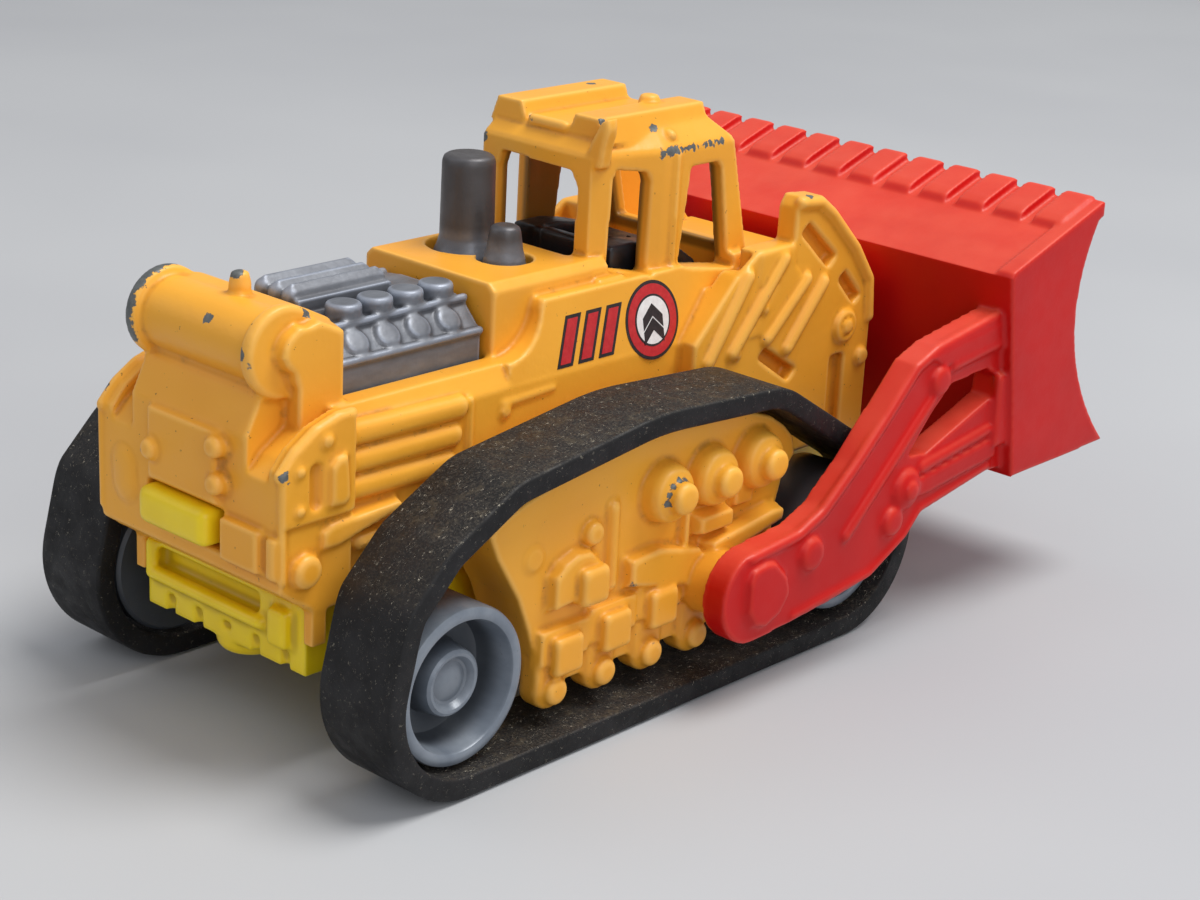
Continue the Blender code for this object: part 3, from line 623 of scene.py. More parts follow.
def fender_extras():
    """Slanting ribs, a rolled rim along the top, the shoulder, a ringed boss and rivets."""
    face = FENDER_X - 0.35
    rim = [(34.1, 26.7), (35.9, 26.5), (37.3, 25.5), (40.0, 22.9), (41.7, 20.6), (42.0, 18.0)]
    ring = [(0, 8.0), (1.1, 8.0), (1.1, 8.7), (0.95, 8.85), (0.7, 8.85), (0.6, 8.7), (0.5, 8.7)]
    extras = [made for line in FENDER_RIBS for made in ribs(face, line, 0.5)]
    extras += [
        pad("X", [(29.6, 18.6), (31.6, 18.6), (35.0, 22.0), (33.6, 23.2)], face - 0.2, 0.35, 0.2),
        *ribs(face, rim, 0.42),
        turned("X", (39.4, 17.8), [*ring, (0.45, 9.0), (0, 9.05)]),
        boss("X", (41.4, 15.4), 0.6, FENDER_X - 0.5, 0.6),
        boss("X", (31.0, 20.4), 0.32, FENDER_X - 0.5, 0.5),
        boss("X", (28.6, 17.9), 0.32, FENDER_X - 0.5, 0.5),
        soft_box((HULL_X - 0.4, 30.2, 21.8), (FENDER_X - 0.2, 33.9, 24.2), 0.3),
    ]
    return both_sides(*extras)


def grille_extras():
    heights = [12.2 + 1.5 * i for i in range(5)]
    return [capsule((-4.4, NOSE_Y - 0.1, z), (4.4, NOSE_Y - 0.1, z), 0.45) for z in heights]


def body_cuts():
    well = box((-WELL_X, WELL_REAR, 17.4), (WELL_X, HOOD_REAR, 30.0))
    large = cylinder("Z", BIG_STACK[:2], 2.45, 21.0, 27.0, 40)
    small = cylinder("Z", SMALL_STACK[:2], 1.7, 21.0, 27.0, 32)
    neck = box((-2.0, 14.2, 21.0), (1.5, 15.9, 27.0))
    return [well, large, small, neck]


def body_piece(look):
    solids = [*rear_solids(), *hull_solids(), *shoulder_solids(), *cab_solids(), *fender_solids()]
    extras = [*rear_extras(), *drum_extras(), *side_extras(), *cab_extras(), *fender_extras()]
    extras += grille_extras()
    cuts = [*rear_cuts(), *body_cuts(), *cab_cuts(), *fender_cuts()]
    finished(cast("body_shell", solids, cuts, extras), look, "yellow_paint", "body_casting")


# Plastic held in the casting


def base_piece(look):
    """The base plate with the tray and bumper that show at the tail."""
    solids = [
        box((-6.9, -4.7, 5.6), (6.9, 41.0, BODY_BOTTOM)),
        box((-4.0, 5.0, 4.7), (4.0, 28.0, 6.0)),
        box((-3.2, REAR_Y + 0.4, 12.6), (2.4, -4.3, 14.6)),
    ]
    cuts = [cylinder("X", (y, AXLE_Z), 1.0, -9, 9) for y in (0.0, AXLE_SPACING)]
    cuts.append(box((-6.0, -6.0, 8.0), (3.0, -4.0, 9.3)))
    for i in range(5):
        x = -5.2 + 2.5 * i
        cuts.append(box((x, -6.0, 5.0), (x + 0.7, -4.3, 6.7)))
    extras = [
        capsule((-6.2, -4.9, 7.75), (3.3, -4.9, 7.75), 0.42),
        capsule((-6.3, -4.8, 7.8), (-6.3, -4.8, 9.5), 0.4),
        soft_box((4.3, -5.4, 6.9), (5.9, -4.2, 9.2), 0.3),
        soft_box((-3.35, REAR_Y - 1.0, 12.5), (2.5, REAR_Y + 0.8, 14.75), 0.55),
    ]
    rivet = [(0, 6.2), (2.0, 6.2), (2.0, 5.1), (1.7, 4.7), (0, 4.6)]
    extras += [turned("Z", (0, y), rivet) for y in (-2.7, 37.0)]
    extras += [box((-6.2, y, 5.2), (6.2, y + 0.7, 6.0)) for y in (10.0, 16.0, 22.0, 30.0)]
    finished(cast("base_tray", solids, cuts, extras, 0.16, 5, 80_000), look, "lime_plastic", "base_plate")


def stack_shape(place, base_radius, taper):
    """An exhaust with a flared foot: it narrows towards its top by the taper."""
    x, y, radius, top = place
    profile = [(0, 21.0), (base_radius, 21.0), (base_radius, 24.35), (base_radius - 0.1, 24.55)]
    profile += [(radius + 0.15, 24.8), (radius, 25.3), (radius - taper, top - 0.45)]
    profile += [(radius - taper - 0.1, top - 0.15), (radius - taper - 0.35, top), (0, top)]
    return turned("Z", (x, y), profile, 48)


def engine_piece(look):
    section = mirror_closed([(4.8, 18.0), (4.8, 22.1), (3.5, 23.45), (3.3, 23.7), (1.8, 23.9)])
    solids = [prism(section, "Y", WELL_REAR + 0.3, HOOD_REAR - 0.3)]
    extras = []
    disc = [(0, -0.8), (0.8, -0.8), (0.84, 0.05), (0.75, 0.22), (0.5, 0.27), (0, 0.28)]
    tall = [(0, 22.8), (1.0, 22.8), (1.04, 24.5), (0.95, 24.7), (0.7, 24.76), (0, 24.76)]
    for x, z in ((4.75, 22.1), (3.4, 23.72)):
        extras += both_sides(capsule((x, -0.5, z), (x, 9.9, z), 0.24))
    for i in range(4):
        y = 1.1 + 2.3 * i
        extras += both_sides(tilted(turned("Z", (0, 0), disc, 24), 46, (4.08, y, 22.85)))
        extras.append(turned("Z", (2.5, y + 0.5), tall, 28))
    extras.append(box((-2.9, -0.3, 23.0), (0.9, 6.6, 24.7)))
    for x in (-2.3, -1.15, 0.0):
        extras.append(capsule((x, 0.0, 24.75), (x, 6.2, 24.75), 0.55))
        extras.append(capsule((x, 0.0, 25.28), (x, 6.2, 25.28), 0.14))
    extras += [stack_shape(BIG_STACK, 2.0, 0.05), stack_shape(SMALL_STACK, 1.35, 0.15)]
    block = cast("engine_block", solids, (), extras, 0.11, 2, 120_000)
    finished(block, look, "silver_plastic", "engine_insert")


def interior_piece(look):
    solids = [prism(cab_outline(CAB_WALL + 0.3), "Z", 21.2, 22.6)]
    desk = [(21.4, 22.0), (21.4, 24.9), (23.6, 24.9), (25.2, 24.6), (27.6, 24.0), (29.3, 22.9), (29.3, 22.0)]
    extras = [
        soft_box((-1.9, 21.6, 22.0), (1.9, 25.0, 23.4), 0.2),
        soft_box((-1.9, 21.4, 22.0), (1.9, 22.4, 24.9), 0.2),
        soft_box((-3.4, 26.6, 22.0), (3.4, 28.8, 23.7), 0.25),
        *both_sides(prism(desk, "X", 2.2, 4.1), capsule((1.2, 26.7, 23.4), (1.2, 26.2, 24.2), 0.2)),
    ]
    finished(cast("cab_seat", solids, (), extras, 0.15, 4, 40_000), look, "black_plastic", "cab_interior")


# Running gear


def belt_path(step):
    """The belt's outside as evenly spaced points, each with its direction outwards."""
    points = []
    for y, z, radius, start, end in BELT_GUIDES:
        points += arc((y, z), radius, start, end, round((end - start) / 3))
    outline = [points[i] for i in convex_hull_2d(points)]
    rear = outline.index(min(outline))
    outline = np.array(outline[rear:] + outline[:rear + 1])
    reach = np.append(0, np.cumsum(np.hypot(*np.diff(outline, axis=0).T)))
    count = round(reach[-1] / step)
    targets = reach[-1] * np.arange(count) / count
    spaced = [Vector(point) for point in zip(*(np.interp(targets, reach, line) for line in outline.T))]
    result = []
    for k in range(count):
        along = (spaced[(k + 2) % count] - spaced[k - 2]).normalized()
        result.append((spaced[k], Vector((along.y, -along.x))))
    return result


def belt_section():
    """(x, depth below the outside) round the belt's cross-section, with rounded corners."""
    corner = 0.22
    low, high = BELT_LOW.x, BELT_HIGH.x
    section = []
    for x, depth, start in ((high, 0, 90), (high, BELT_THICK, 0), (low, BELT_THICK, -90), (low, 0, -180)):
        centre = (x + (corner if x == low else -corner), depth + (-corner if depth else corner))
        for u, v in arc(centre, corner, start, start - 90, 3):
            section.append((u, 2 * centre[1] - v))
    return section


def belt_piece(name, side, look):
    section = belt_section()
    rings = []
    for point, out in belt_path(0.35):
        rings.append([(side * x, *(point - out * depth)) for x, depth in section])
    belt = smooth_solid(f"belt_{name}", skinned(rings, capped=False))
    finished(belt, look, "black_rubber", f"track_belt_{name}")


def frame_solids():
    plate = [(2.9, 13.8), (3.6, 14.4), (5.6, 15.1), (8.5, 15.85), (11.5, 16.4), (15.8, 16.9), (20.0, 16.85)]
    plate += [(24.0, 16.5), (26.6, 15.6), (28.0, 14.7), (28.9, 13.8), (29.2, 12.6), (28.2, 11.6), (27.6, 9.6)]
    plate += [(27.2, 5.0), (26.0, 3.4), (7.3, 3.4), (6.2, 7.2), (5.3, 9.4), (3.6, 12.2)]
    return [prism(plate, "X", FRAME_IN_X, FRAME_OUT_X), box((7.5, 8.0, 10.6), (9.6, 20.0, 15.0))]


def stud(y, z):
    profile = [(0, 12.8), (1.85, 12.8), (1.82, 13.6), (1.75, 14.1), (1.55, 14.45), (1.2, 14.6)]
    profile += [(1.0, 14.65), (0.98, 15.2), (0.85, 15.42), (0.6, 15.5), (0, 15.52)]
    return turned("X", (y, z), profile, 40)


def frame_extras():
    face = FRAME_OUT_X - 0.3
    low_box = [(7.2, 8.1), (7.2, 10.4), (7.9, 11.2), (9.2, 11.6), (10.6, 11.5), (11.5, 10.7), (11.4, 8.5)]
    middle_box = [(13.6, 7.9), (13.6, 9.9), (16.0, 10.1), (20.1, 9.2), (20.1, 6.5)]
    step = [(20.2, 7.6), (27.3, 8.9), (27.4, 10.2), (26.4, 10.3), (20.2, 9.1)]
    pads = [
        (low_box, 1.1, 0.35), (middle_box, 1.1, 0.25), (step, 1.5, 0.35),
        (rectangle((18.4, 9.0), (19.0, 11.8)), 0.9, 0.15),
        (rectangle((19.3, 9.7), (22.6, 11.2)), 1.3, 0.25),
        (rectangle((22.9, 10.6), (24.9, 12.2)), 0.8, 0.2),
    ]
    extras = [stud(y, z) for y, z in STUDS]
    extras += [pad("X", outline, face, height, inset) for outline, height, inset in pads]
    extras.append(boss("X", (10.8, 12.1), 0.72, face, 0.95))
    extras.append(boss("X", (6.3, 11.6), 0.8, face, 0.5))
    extras.append(capsule((face + 0.35, 12.6, 8.5), (face + 0.35, 12.6, 13.2), 0.42))
    extras.append(soft_box((face, 9.1, 8.2), (face + 1.75, 11.3, 10.5), 0.35))
    for i, z in enumerate((5.75, 6.1, 6.4, 6.6)):
        y = 7.4 + 4.0 * i
        extras.append(pad("X", rectangle((y - 0.8, z - 0.9), (y + 3.4, z + 1.5)), face, 0.8, 0.2))
        extras.append(soft_box((face, y, z - 1.4), (face + 1.45, y + 2.3, z + 0.95), 0.3))
    roller = [(0, 12.0), (1.2, 12.0), (1.2, 13.3), (1.0, 13.55), (0, 13.6)]
    for i in range(5):
        y = 7.9 + 4.05 * i
        extras.append(soft_box((12.0, y - 1.25, 3.0), (FRAME_OUT_X + 0.35, y + 1.25, 5.6), 0.3))
        extras.append(turned("X", (y, 3.3), roller, 28))
        extras.append(boss("X", (y, 3.35), 0.85, FRAME_OUT_X, 0.95))
    return extras


def frame_piece(name, side, look):
    pegs = [cylinder("X", PIVOT, 2.0, 12.8, ARM_IN_X - 0.3), cylinder("X", PIVOT, 1.3, 12.8, ARM_IN_X + 0.7)]
    solids = [sided(shape, side) for shape in frame_solids()]
    extras = [sided(shape, side) for shape in frame_extras() + pegs]
    casting = cast(f"frame_{name}", solids, (), extras, FINE_VOXEL, 7, 120_000)
    finished(casting, look, "yellow_paint", f"track_frame_{name}")


def wheel_piece(name, side, y, look):
    """A dished plastic wheel whose hub has a ring and a shallow cap."""
    back, front = WHEEL_LOW.x, WHEEL_HIGH.x
    profile = [
        (0, 13.0), (1.0, 13.0), (1.0, back + 0.1), (1.2, back), (WHEEL_R - 0.2, back),
        (WHEEL_R, back + 0.2), (WHEEL_R, front - 0.35), (WHEEL_R - 0.08, front - 0.12),
        (WHEEL_R - 0.3, front), (4.0, front), (3.86, front - 0.06), (3.78, front - 0.2),
        (3.55, 12.2), (3.4, 11.9), (3.1, 11.8), (2.45, 11.8), (2.2, 11.9), (2.1, 12.2),
        (1.98, 13.3), (1.9, 13.55), (1.72, 13.68), (1.55, 13.66), (1.42, 13.5), (1.3, 13.3),
        (1.15, 13.24), (0.95, 13.3), (0.6, 13.42), (0, 13.46),
    ]
    shape = sided(turned("X", (y, AXLE_Z), profile, 96), side)
    finished(smooth_solid(f"{name}_dish", shape, 30), look, "grey_plastic", name, body=name)


# Blade and arms


def blade_front():
    shares = [i / 16 for i in range(17)]
    points = [Vector(BLADE_LIP).lerp(BLADE_TIP, t) for t in shares]
    return [(y - 4 * t * (1 - t) * BLADE_BOW, z) for t, (y, z) in zip(shares, points)]


def scoop_outline():
    """The hollow of the blade: the inside of its sheets, open to the front."""
    curve = [(60.0, 27.6), (53.0, 24.9), (47.6, 23.0)]
    curve += arc((47.4, 20.4), 2.6, 100, 185, 8)
    curve += [(45.6, 13.6)]
    curve += arc((48.9, 13.3), 3.2, 195, 265, 8)
    return curve + [(52.0, 9.9), (60.0, 10.0)]


def tooth_shapes():
    """Low bars along the blade's top edge, rounded at their rear ends."""
    y, z = BLADE_TIP
    outline = [(y + 0.1, z + 0.35), (y - 0.3, z + 0.45), (y - 3.2, z - 0.5), (y - 3.8, z - 0.8)]
    outline += [(y - 4.05, z - 1.2), (y - 4.05, z - 1.8), (y - 0.2, z - 0.4)]
    teeth = []
    for i in range(TOOTH_COUNT):
        x = (i - (TOOTH_COUNT - 1) / 2) * TOOTH_PITCH
        teeth.append(prism(outline, "X", x - TOOTH_WIDTH / 2, x + TOOTH_WIDTH / 2))
    return teeth


def arm_outline():
    """One lift arm: a bent beam from the pivot that widens into the blade's whole height."""
    beam = arc(PIVOT, ARM_END_R, 100, 275, 18)
    beam += [(28.0, 4.5), (32.0, 5.1), (35.4, 6.8), (36.8, 8.2), (43.8, 9.3), (46.2, 9.2)]
    beam += [(45.4, 20.4), (43.5, 20.1), (37.0, 19.1), (34.9, 18.3), (32.2, 15.7), (29.5, 13.1)]
    return beam + [(26.8, 10.9), (24.6, 10.0)]


def arm_extras():
    """Raised borders, a long bar, pads and bosses on the outer face of an arm."""
    face = ARM_OUT_X - 0.15
    upper = [(20.2, 9.3), (24.5, 9.7), (26.7, 10.6), (29.6, 12.9), (32.4, 15.4), (35.1, 18.0)]
    upper += [(37.1, 18.8), (44.6, 20.0)]
    foot = [(24.4, 4.6), (31.8, 5.4), (35.2, 7.1), (36.6, 8.5), (43.8, 9.7)]
    extras = ribs(face, upper, 0.38) + ribs(face, foot, 0.36)
    for line in ([(38.8, 17.5), (44.0, 18.1)], [(36.4, 11.3), (44.4, 12.4)], [(29.0, 8.6), (36.8, 15.7)]):
        extras += ribs(face, line, 0.5)
    plate = [(19.5, 5.9), (20.2, 4.9), (21.3, 4.6), (22.9, 5.1), (23.7, 6.2), (23.4, 7.8)]
    plate += [(22.3, 8.9), (21.0, 9.1), (19.8, 8.9), (19.5, 8.3)]
    top_bar = [(36.0, 18.5), (37.4, 17.4), (44.6, 18.3), (44.6, 19.8)]
    low_bar = [(33.6, 9.3), (36.4, 9.2), (44.6, 10.4), (44.6, 11.9), (36.0, 10.9)]
    for outline, height in ((plate, 0.8), (top_bar, 0.6), (low_bar, 0.65)):
        extras.append(pad("X", outline, face - 0.2, height, 0.3))
    for y, z, radius in ((25.6, 8.3, 1.05), (34.85, 10.2, 1.3), (37.4, 16.8, 0.95), (33.6, 8.4, 0.95)):
        extras.append(boss("X", (y, z), radius, face - 0.2, 0.85))
    extras.append(boss("X", (34.85, 10.2), 0.7, face, 0.95))
    extras.append(soft_box((face, 43.6, 11.0), (face + 0.7, 46.0, 16.0), 0.3))
    return extras


def blade_piece(look):
    plate = prism([BLADE_CREASE, BLADE_HEEL, *blade_front()], "X", -BLADE_X, BLADE_X)
    inside = prism(scoop_outline(), "X", BLADE_WALL - BLADE_X, BLADE_X - BLADE_WALL)
    hole = [(34.9, 12.3), (37.0, 14.6), (38.9, 16.2), (42.8, 16.5), (43.9, 15.8), (43.6, 14.4), (36.9, 12.1)]
    bore = cylinder("X", PIVOT, 1.6, ARM_IN_X - 1, ARM_IN_X + 1.0)
    solids = [plate, *both_sides(prism(arm_outline(), "X", ARM_IN_X, ARM_OUT_X))]
    cuts = [inside, *both_sides(bore, prism(hole, "X", ARM_IN_X - 1, ARM_OUT_X + 1))]
    rim = [BLADE_CREASE, (BLADE_CREASE[0] + 0.2, BLADE_CREASE[1] + 0.35)]
    rim += [(BLADE_TIP[0] - 0.1, BLADE_TIP[1] + 0.3), (BLADE_TIP[0], BLADE_TIP[1] - 0.8)]
    extras = [*tooth_shapes(), *both_sides(*arm_extras(), prism(rim, "X", BLADE_X - 1.3, BLADE_X))]
    scoop = cast("blade_scoop", solids, cuts, extras, 0.15)
    finished(scoop, look, "red_plastic", "blade_and_arms", body="blade")


# Printed emblems


def flat_plate(name, outline, lift, look, side):
    """A thin film of ink on the leaning side panel."""
    depths = (0.12, 0.0)
    film = skinned([[(side * (flank_x(z) + lift - depth), y, z) for y, z in outline] for depth in depths])
    finished(smooth_solid(name, film), look, "red_plastic")


def slanted(y, z, width, height, lean):
    return [(y, z), (y + width, z), (y + width + lean, z + height), (y + lean, z + height)]


def chevron(y, z, size):
    half, rise = size / 2, size * 0.425
    low, tip = z - half, z - half * 0.1
    outline = [(y - half, low), (y, tip), (y + half, low)]
    return outline + [(y + half, low + rise), (y, tip + rise), (y - half, low + rise)]


def emblem(side, inks):
    """A plain roundel with a double chevron, and three slanted bars behind it."""
    label = "right" if side > 0 else "left"
    centre = (22.4, 20.9)
    discs = ((2.35, 0.03, "black"), (2.15, 0.045, "red"), (1.55, 0.06, "black"), (1.42, 0.075, "white"))
    for i, (radius, lift, ink) in enumerate(discs):
        flat_plate(f"emblem_disc_{i}_{label}", circle(centre, radius, 64), lift, inks[ink], side)
    for i in range(2):
        mark = chevron(centre[0], centre[1] + 0.35 - 0.85 * i, 1.75)
        flat_plate(f"emblem_chevron_{i}_{label}", mark, 0.09, inks["black"], side)
    for i in range(3):
        y = 14.0 + 1.75 * i
        bar = slanted(y, 19.5, 1.3, 2.9, 1.1)
        inner = slanted(y + 0.27, 19.7, 0.85, 2.5, 0.95)
        flat_plate(f"emblem_bar_{i}_{label}", bar, 0.03, inks["black"], side)
        flat_plate(f"emblem_bar_fill_{i}_{label}", inner, 0.05, inks["red"], side)


# Materials


def linear(colour):
    """A colour given as 0-255 on screen, as Blender's linear values."""
    return (*Color([value / 255 for value in colour]).from_srgb_to_scene_linear(), 1)


class Look:
    """A material's node graph, with short calls for the nodes that repeat."""

    def __init__(self, name, **sockets):
        self.material = bpy.data.materials.new(name)
        self.material.use_nodes = True
        self.tree = self.material.node_tree
        self.shader = self.tree.nodes["Principled BSDF"]
        for socket, value in sockets.items():
            self.shader.inputs[socket.replace("_", " ")].default_value = value
        self.place = self.vector("SCALE", self.add("ShaderNodeTexCoord").outputs["Object"], 1 / MM)

    def add(self, kind, inputs=(), **settings):
        """A node with its inputs, each a fixed value or the output of another node."""
        node = self.tree.nodes.new(kind)
        for setting, value in settings.items():
            setattr(node, setting, value)
        for socket, value in dict(inputs).items():
            self.feed(node.inputs[socket], value)
        return node

    def feed(self, socket, value):
        if hasattr(value, "is_output"):
            self.tree.links.new(value, socket)
        else:
            socket.default_value = value

    def set(self, socket, value):
        self.feed(self.shader.inputs[socket], value)

    def vector(self, operation, first, second):
        inputs = {0: first, "Scale" if operation == "SCALE" else 1: second}
        node = self.add("ShaderNodeVectorMath", inputs, operation=operation)
        return node.outputs["Value"] if operation == "DISTANCE" else node.outputs["Vector"]

    def maths(self, operation, first, second=0.0):
        return self.add("ShaderNodeMath", {0: first, 1: second}, operation=operation).outputs[0]

    def times(self, first, second):
        return self.maths("MULTIPLY", first, second)

    def noise(self, scale, detail=3.0, roughness=0.55, place=None):
        inputs = {"Vector": place or self.place, "Scale": scale, "Detail": detail, "Roughness": roughness}
        return self.add("ShaderNodeTexNoise", inputs).outputs["Fac"]

    def ramp(self, value, low, high, to_low=0.0, to_high=1.0):
        inputs = enumerate((value, low, high, to_low, to_high))
        return self.add("ShaderNodeMapRange", inputs, interpolation_type="SMOOTHSTEP").outputs[0]

    def mix(self, share, first, second):
        """A mix of two colours, each the output of a node or a colour on screen."""
        first, second = (linear(c) if isinstance(c, tuple) else c for c in (first, second))
        return self.add("ShaderNodeMix", {0: share, 6: first, 7: second}, data_type="RGBA").outputs[2]

    def tint(self, base, mask, amount, colour):
        return self.mix(self.times(mask, amount), base, colour)

    def swirl(self, noise, first, second):
        return self.mix(self.ramp(noise, 0.3, 0.7), first, second)

    def skin(self, *bumps):
        """Small bumps over each other, each as (height, distance in mm, strength)."""
        under = {}
        for height, distance, strength in bumps:
            inputs = {"Height": height, "Distance": distance * MM, "Strength": strength, **under}
            under = {"Normal": self.add("ShaderNodeBump", inputs).outputs[0]}
        self.set("Normal", under["Normal"])

    def dressed(self, colour, gloss, low, high, *bumps):
        """The material, once it has its colour, a roughness between low and high, and bumps."""
        self.set("Base Color", colour)
        self.set("Roughness", self.ramp(gloss, 0.3, 0.7, low, high))
        self.skin(*bumps)
        return self.material

    def edge(self):
        return self.add("ShaderNodeAttribute", attribute_name="edge").outputs["Fac"]

    def part_of(self, vector, axis):
        return self.add("ShaderNodeSeparateXYZ", {0: vector}).outputs[axis]

    def up(self):
        """How far the surface faces up, from -1 to 1."""
        return self.part_of(self.add("ShaderNodeNewGeometry").outputs["Normal"], "Z")

    def height(self):
        return self.part_of(self.place, "Z")

    def side(self):
        """Distance from the middle of the vehicle, counted to its right."""
        return self.part_of(self.place, "X")

    def stretched(self, x, y, z):
        return self.add("ShaderNodeMapping", {"Vector": self.place, "Scale": (x, y, z)}).outputs[0]


# Places where the enamel is knocked off: centre in the vehicle's millimetres and radius.
CHIPS = [
    (0.9, -6.6, 24.9, 0.34), (0.5, -4.2, 27.1, 0.5), (5.3, -3.4, 25.7, 0.3), (4.5, -7.1, 23.9, 0.42),
    (8.0, -7.1, 18.0, 0.3), (-4.5, 19.0, 30.5, 0.35), (4.5, 19.9, 33.1, 0.45), (-3.3, 27.0, 33.1, 0.35),
    (4.6, 24.0, 31.9, 0.3), (8.4, 34.9, 27.0, 0.35), (8.2, -5.0, 17.2, 0.3), (8.8, 30.9, 18.6, 0.2),
    (-8.4, 40.9, 21.9, 0.4), (-5.8, 27.0, 30.7, 0.4), (-8.0, -6.9, 19.0, 0.35),
]


def paint_chips():
    """All chips, with those that follow a rim or an edge worked out along it."""
    chips = list(CHIPS)
    for i, (y, z) in enumerate(arc((DRUM_Y, DRUM_Z), FLANGE_R + 0.05, 80, 201, 11)):
        chips.append((-FLANGE_X + 0.2, y, z, 0.38 + 0.12 * (i % 3)))
    for i in range(15):
        y = CAB_CORNER_Y - 0.1 + 0.38 * i
        chips.append((CAB_SIDE_X - 0.02, y, CAB_EAVE_Z + 0.3, 0.3 if i < 4 else 0.16))
    chips += [(14.75, y, z, 0.22) for y, z in arc(STUDS[0], 1.1, 70, 190, 4)]
    return chips


def cab_inside(look):
    """One inside the cab's walls and in its window openings, which are darkened to brown."""
    along = look.maths("SUBTRACT", look.part_of(look.place, "Y"), ORIGIN.y / MM)
    behind = look.maths("SUBTRACT", along, CAB_REAR)
    lean = (CAB_SIDE_X - CAB_REAR_X) / (CAB_CORNER_Y - CAB_REAR)
    wall = look.maths("ADD", look.times(behind, lean), CAB_REAR_X)
    wall = look.maths("MINIMUM", wall, CAB_SIDE_X)
    across = look.maths("SUBTRACT", wall, look.maths("ABSOLUTE", look.side()))
    lean = (CAB_FOOT_Y - CAB_FRONT) / (CAB_EAVE_Z - CAB_FLOOR_Z)
    front = look.times(look.maths("SUBTRACT", look.height(), CAB_EAVE_Z), -lean)
    ahead = look.maths("SUBTRACT", look.maths("ADD", front, CAB_FRONT), along)
    share = look.ramp(look.height(), 22.9, 23.3)
    share = look.times(share, look.ramp(look.height(), 30.6, 30.3))
    for depth in (behind, across, ahead):
        share = look.times(share, look.ramp(depth, 0.4, 0.8))
    return share


def yellow_paint():
    look = Look("yellow_paint", Coat_Weight=0.1, Coat_Roughness=0.3, Specular_IOR_Level=0.3)
    edge = look.edge()
    broad = look.noise(0.09, 2.0)
    base = look.mix(look.ramp(broad, 0.35, 0.65), (242, 172, 54), (236, 163, 48))
    # Painted shade: the hollows are darkened to a deeper orange. The same mask also places the patchy grime
    # further down.
    hollow = look.ramp(edge, 0.45, 0.1)
    base = look.tint(base, hollow, 0.5, (196, 116, 14))
    # Painted highlight: the outer edges are turned paler, as where light catches them.
    ridge = look.ramp(edge, 0.6, 0.95)
    base = look.tint(base, ridge, 0.35, (252, 200, 110))
    base = look.tint(base, cab_inside(look), 0.75, (96, 66, 18))
    specks = look.ramp(look.noise(2.9, 2.0, 0.7), 0.72, 0.745)
    base = look.tint(base, specks, 0.65, (96, 66, 30))
    grime = look.times(look.ramp(look.noise(0.5, 5.0, 0.7), 0.5, 0.72), hollow)
    base = look.tint(base, grime, 0.5, (120, 88, 40))
    reach = look.times(look.maths("SUBTRACT", look.noise(1.9, 4.0, 0.65), 0.5), 1.0)
    depth = -5.0
    for x, y, z, radius in paint_chips():
        centre = tuple(Vector((x, y, z)) + ORIGIN / MM)
        away = look.vector("DISTANCE", look.place, centre)
        depth = look.maths("MAXIMUM", depth, look.maths("SUBTRACT", radius, away))
    chip = look.ramp(look.maths("ADD", depth, reach), -0.02, 0.03)
    worn = look.ramp(look.noise(0.55, 4.0, 0.7), 0.66, 0.72)
    rub = look.times(look.ramp(edge, 0.86, 1.0), worn)
    bare = look.maths("MAXIMUM", chip, rub)
    zinc = look.mix(look.noise(4.0), (78, 82, 82), (132, 135, 134))
    look.set("Base Color", look.mix(bare, base, zinc))
    look.set("Metallic", look.times(bare, 0.6))
    smear = look.ramp(look.noise(0.4, 5.0, 0.6), 0.3, 0.7, 0.34, 0.48)
    look.set("Roughness", look.maths("ADD", smear, look.times(bare, 0.12)))
    look.skin((look.noise(1.4, 2.0), 0.035, 0.6), (look.maths("SUBTRACT", 1.0, bare), 0.05, 0.7))
    return look.material


def red_plastic():
    look = Look("red_plastic", Subsurface_Weight=0.12, Subsurface_Scale=0.0012,
                Subsurface_Radius=(1.0, 0.2, 0.1), Specular_IOR_Level=0.25)
    edge = look.edge()
    base = look.swirl(look.noise(0.12, 2.0), (200, 18, 15), (188, 15, 14))
    # Painted highlight: the edges are turned paler red.
    pale = look.times(look.ramp(edge, 0.6, 1.0), 0.35)
    base = look.mix(pale, base, (216, 66, 52))
    # Painted sheen: faces that point up are made paler in patches, as if lit from above.
    patchy = look.ramp(look.noise(0.3, 4.0), 0.2, 0.8, 0.3, 0.52)
    film = look.times(look.ramp(look.up(), 0.3, 1.0), patchy)
    base = look.mix(film, base, (232, 104, 78))
    scuff = look.ramp(look.noise(1.0, 5.0, 0.7, look.stretched(3.0, 0.5, 1.2)), 0.66, 0.74)
    base = look.tint(base, scuff, 0.25, (214, 92, 78))
    bumps = ((look.noise(5.0, 3.0, 0.6), 0.012, 0.7), (look.noise(0.35, 2.0), 0.06, 0.5))
    return look.dressed(base, look.noise(0.7, 5.0, 0.6), 0.32, 0.45, *bumps)


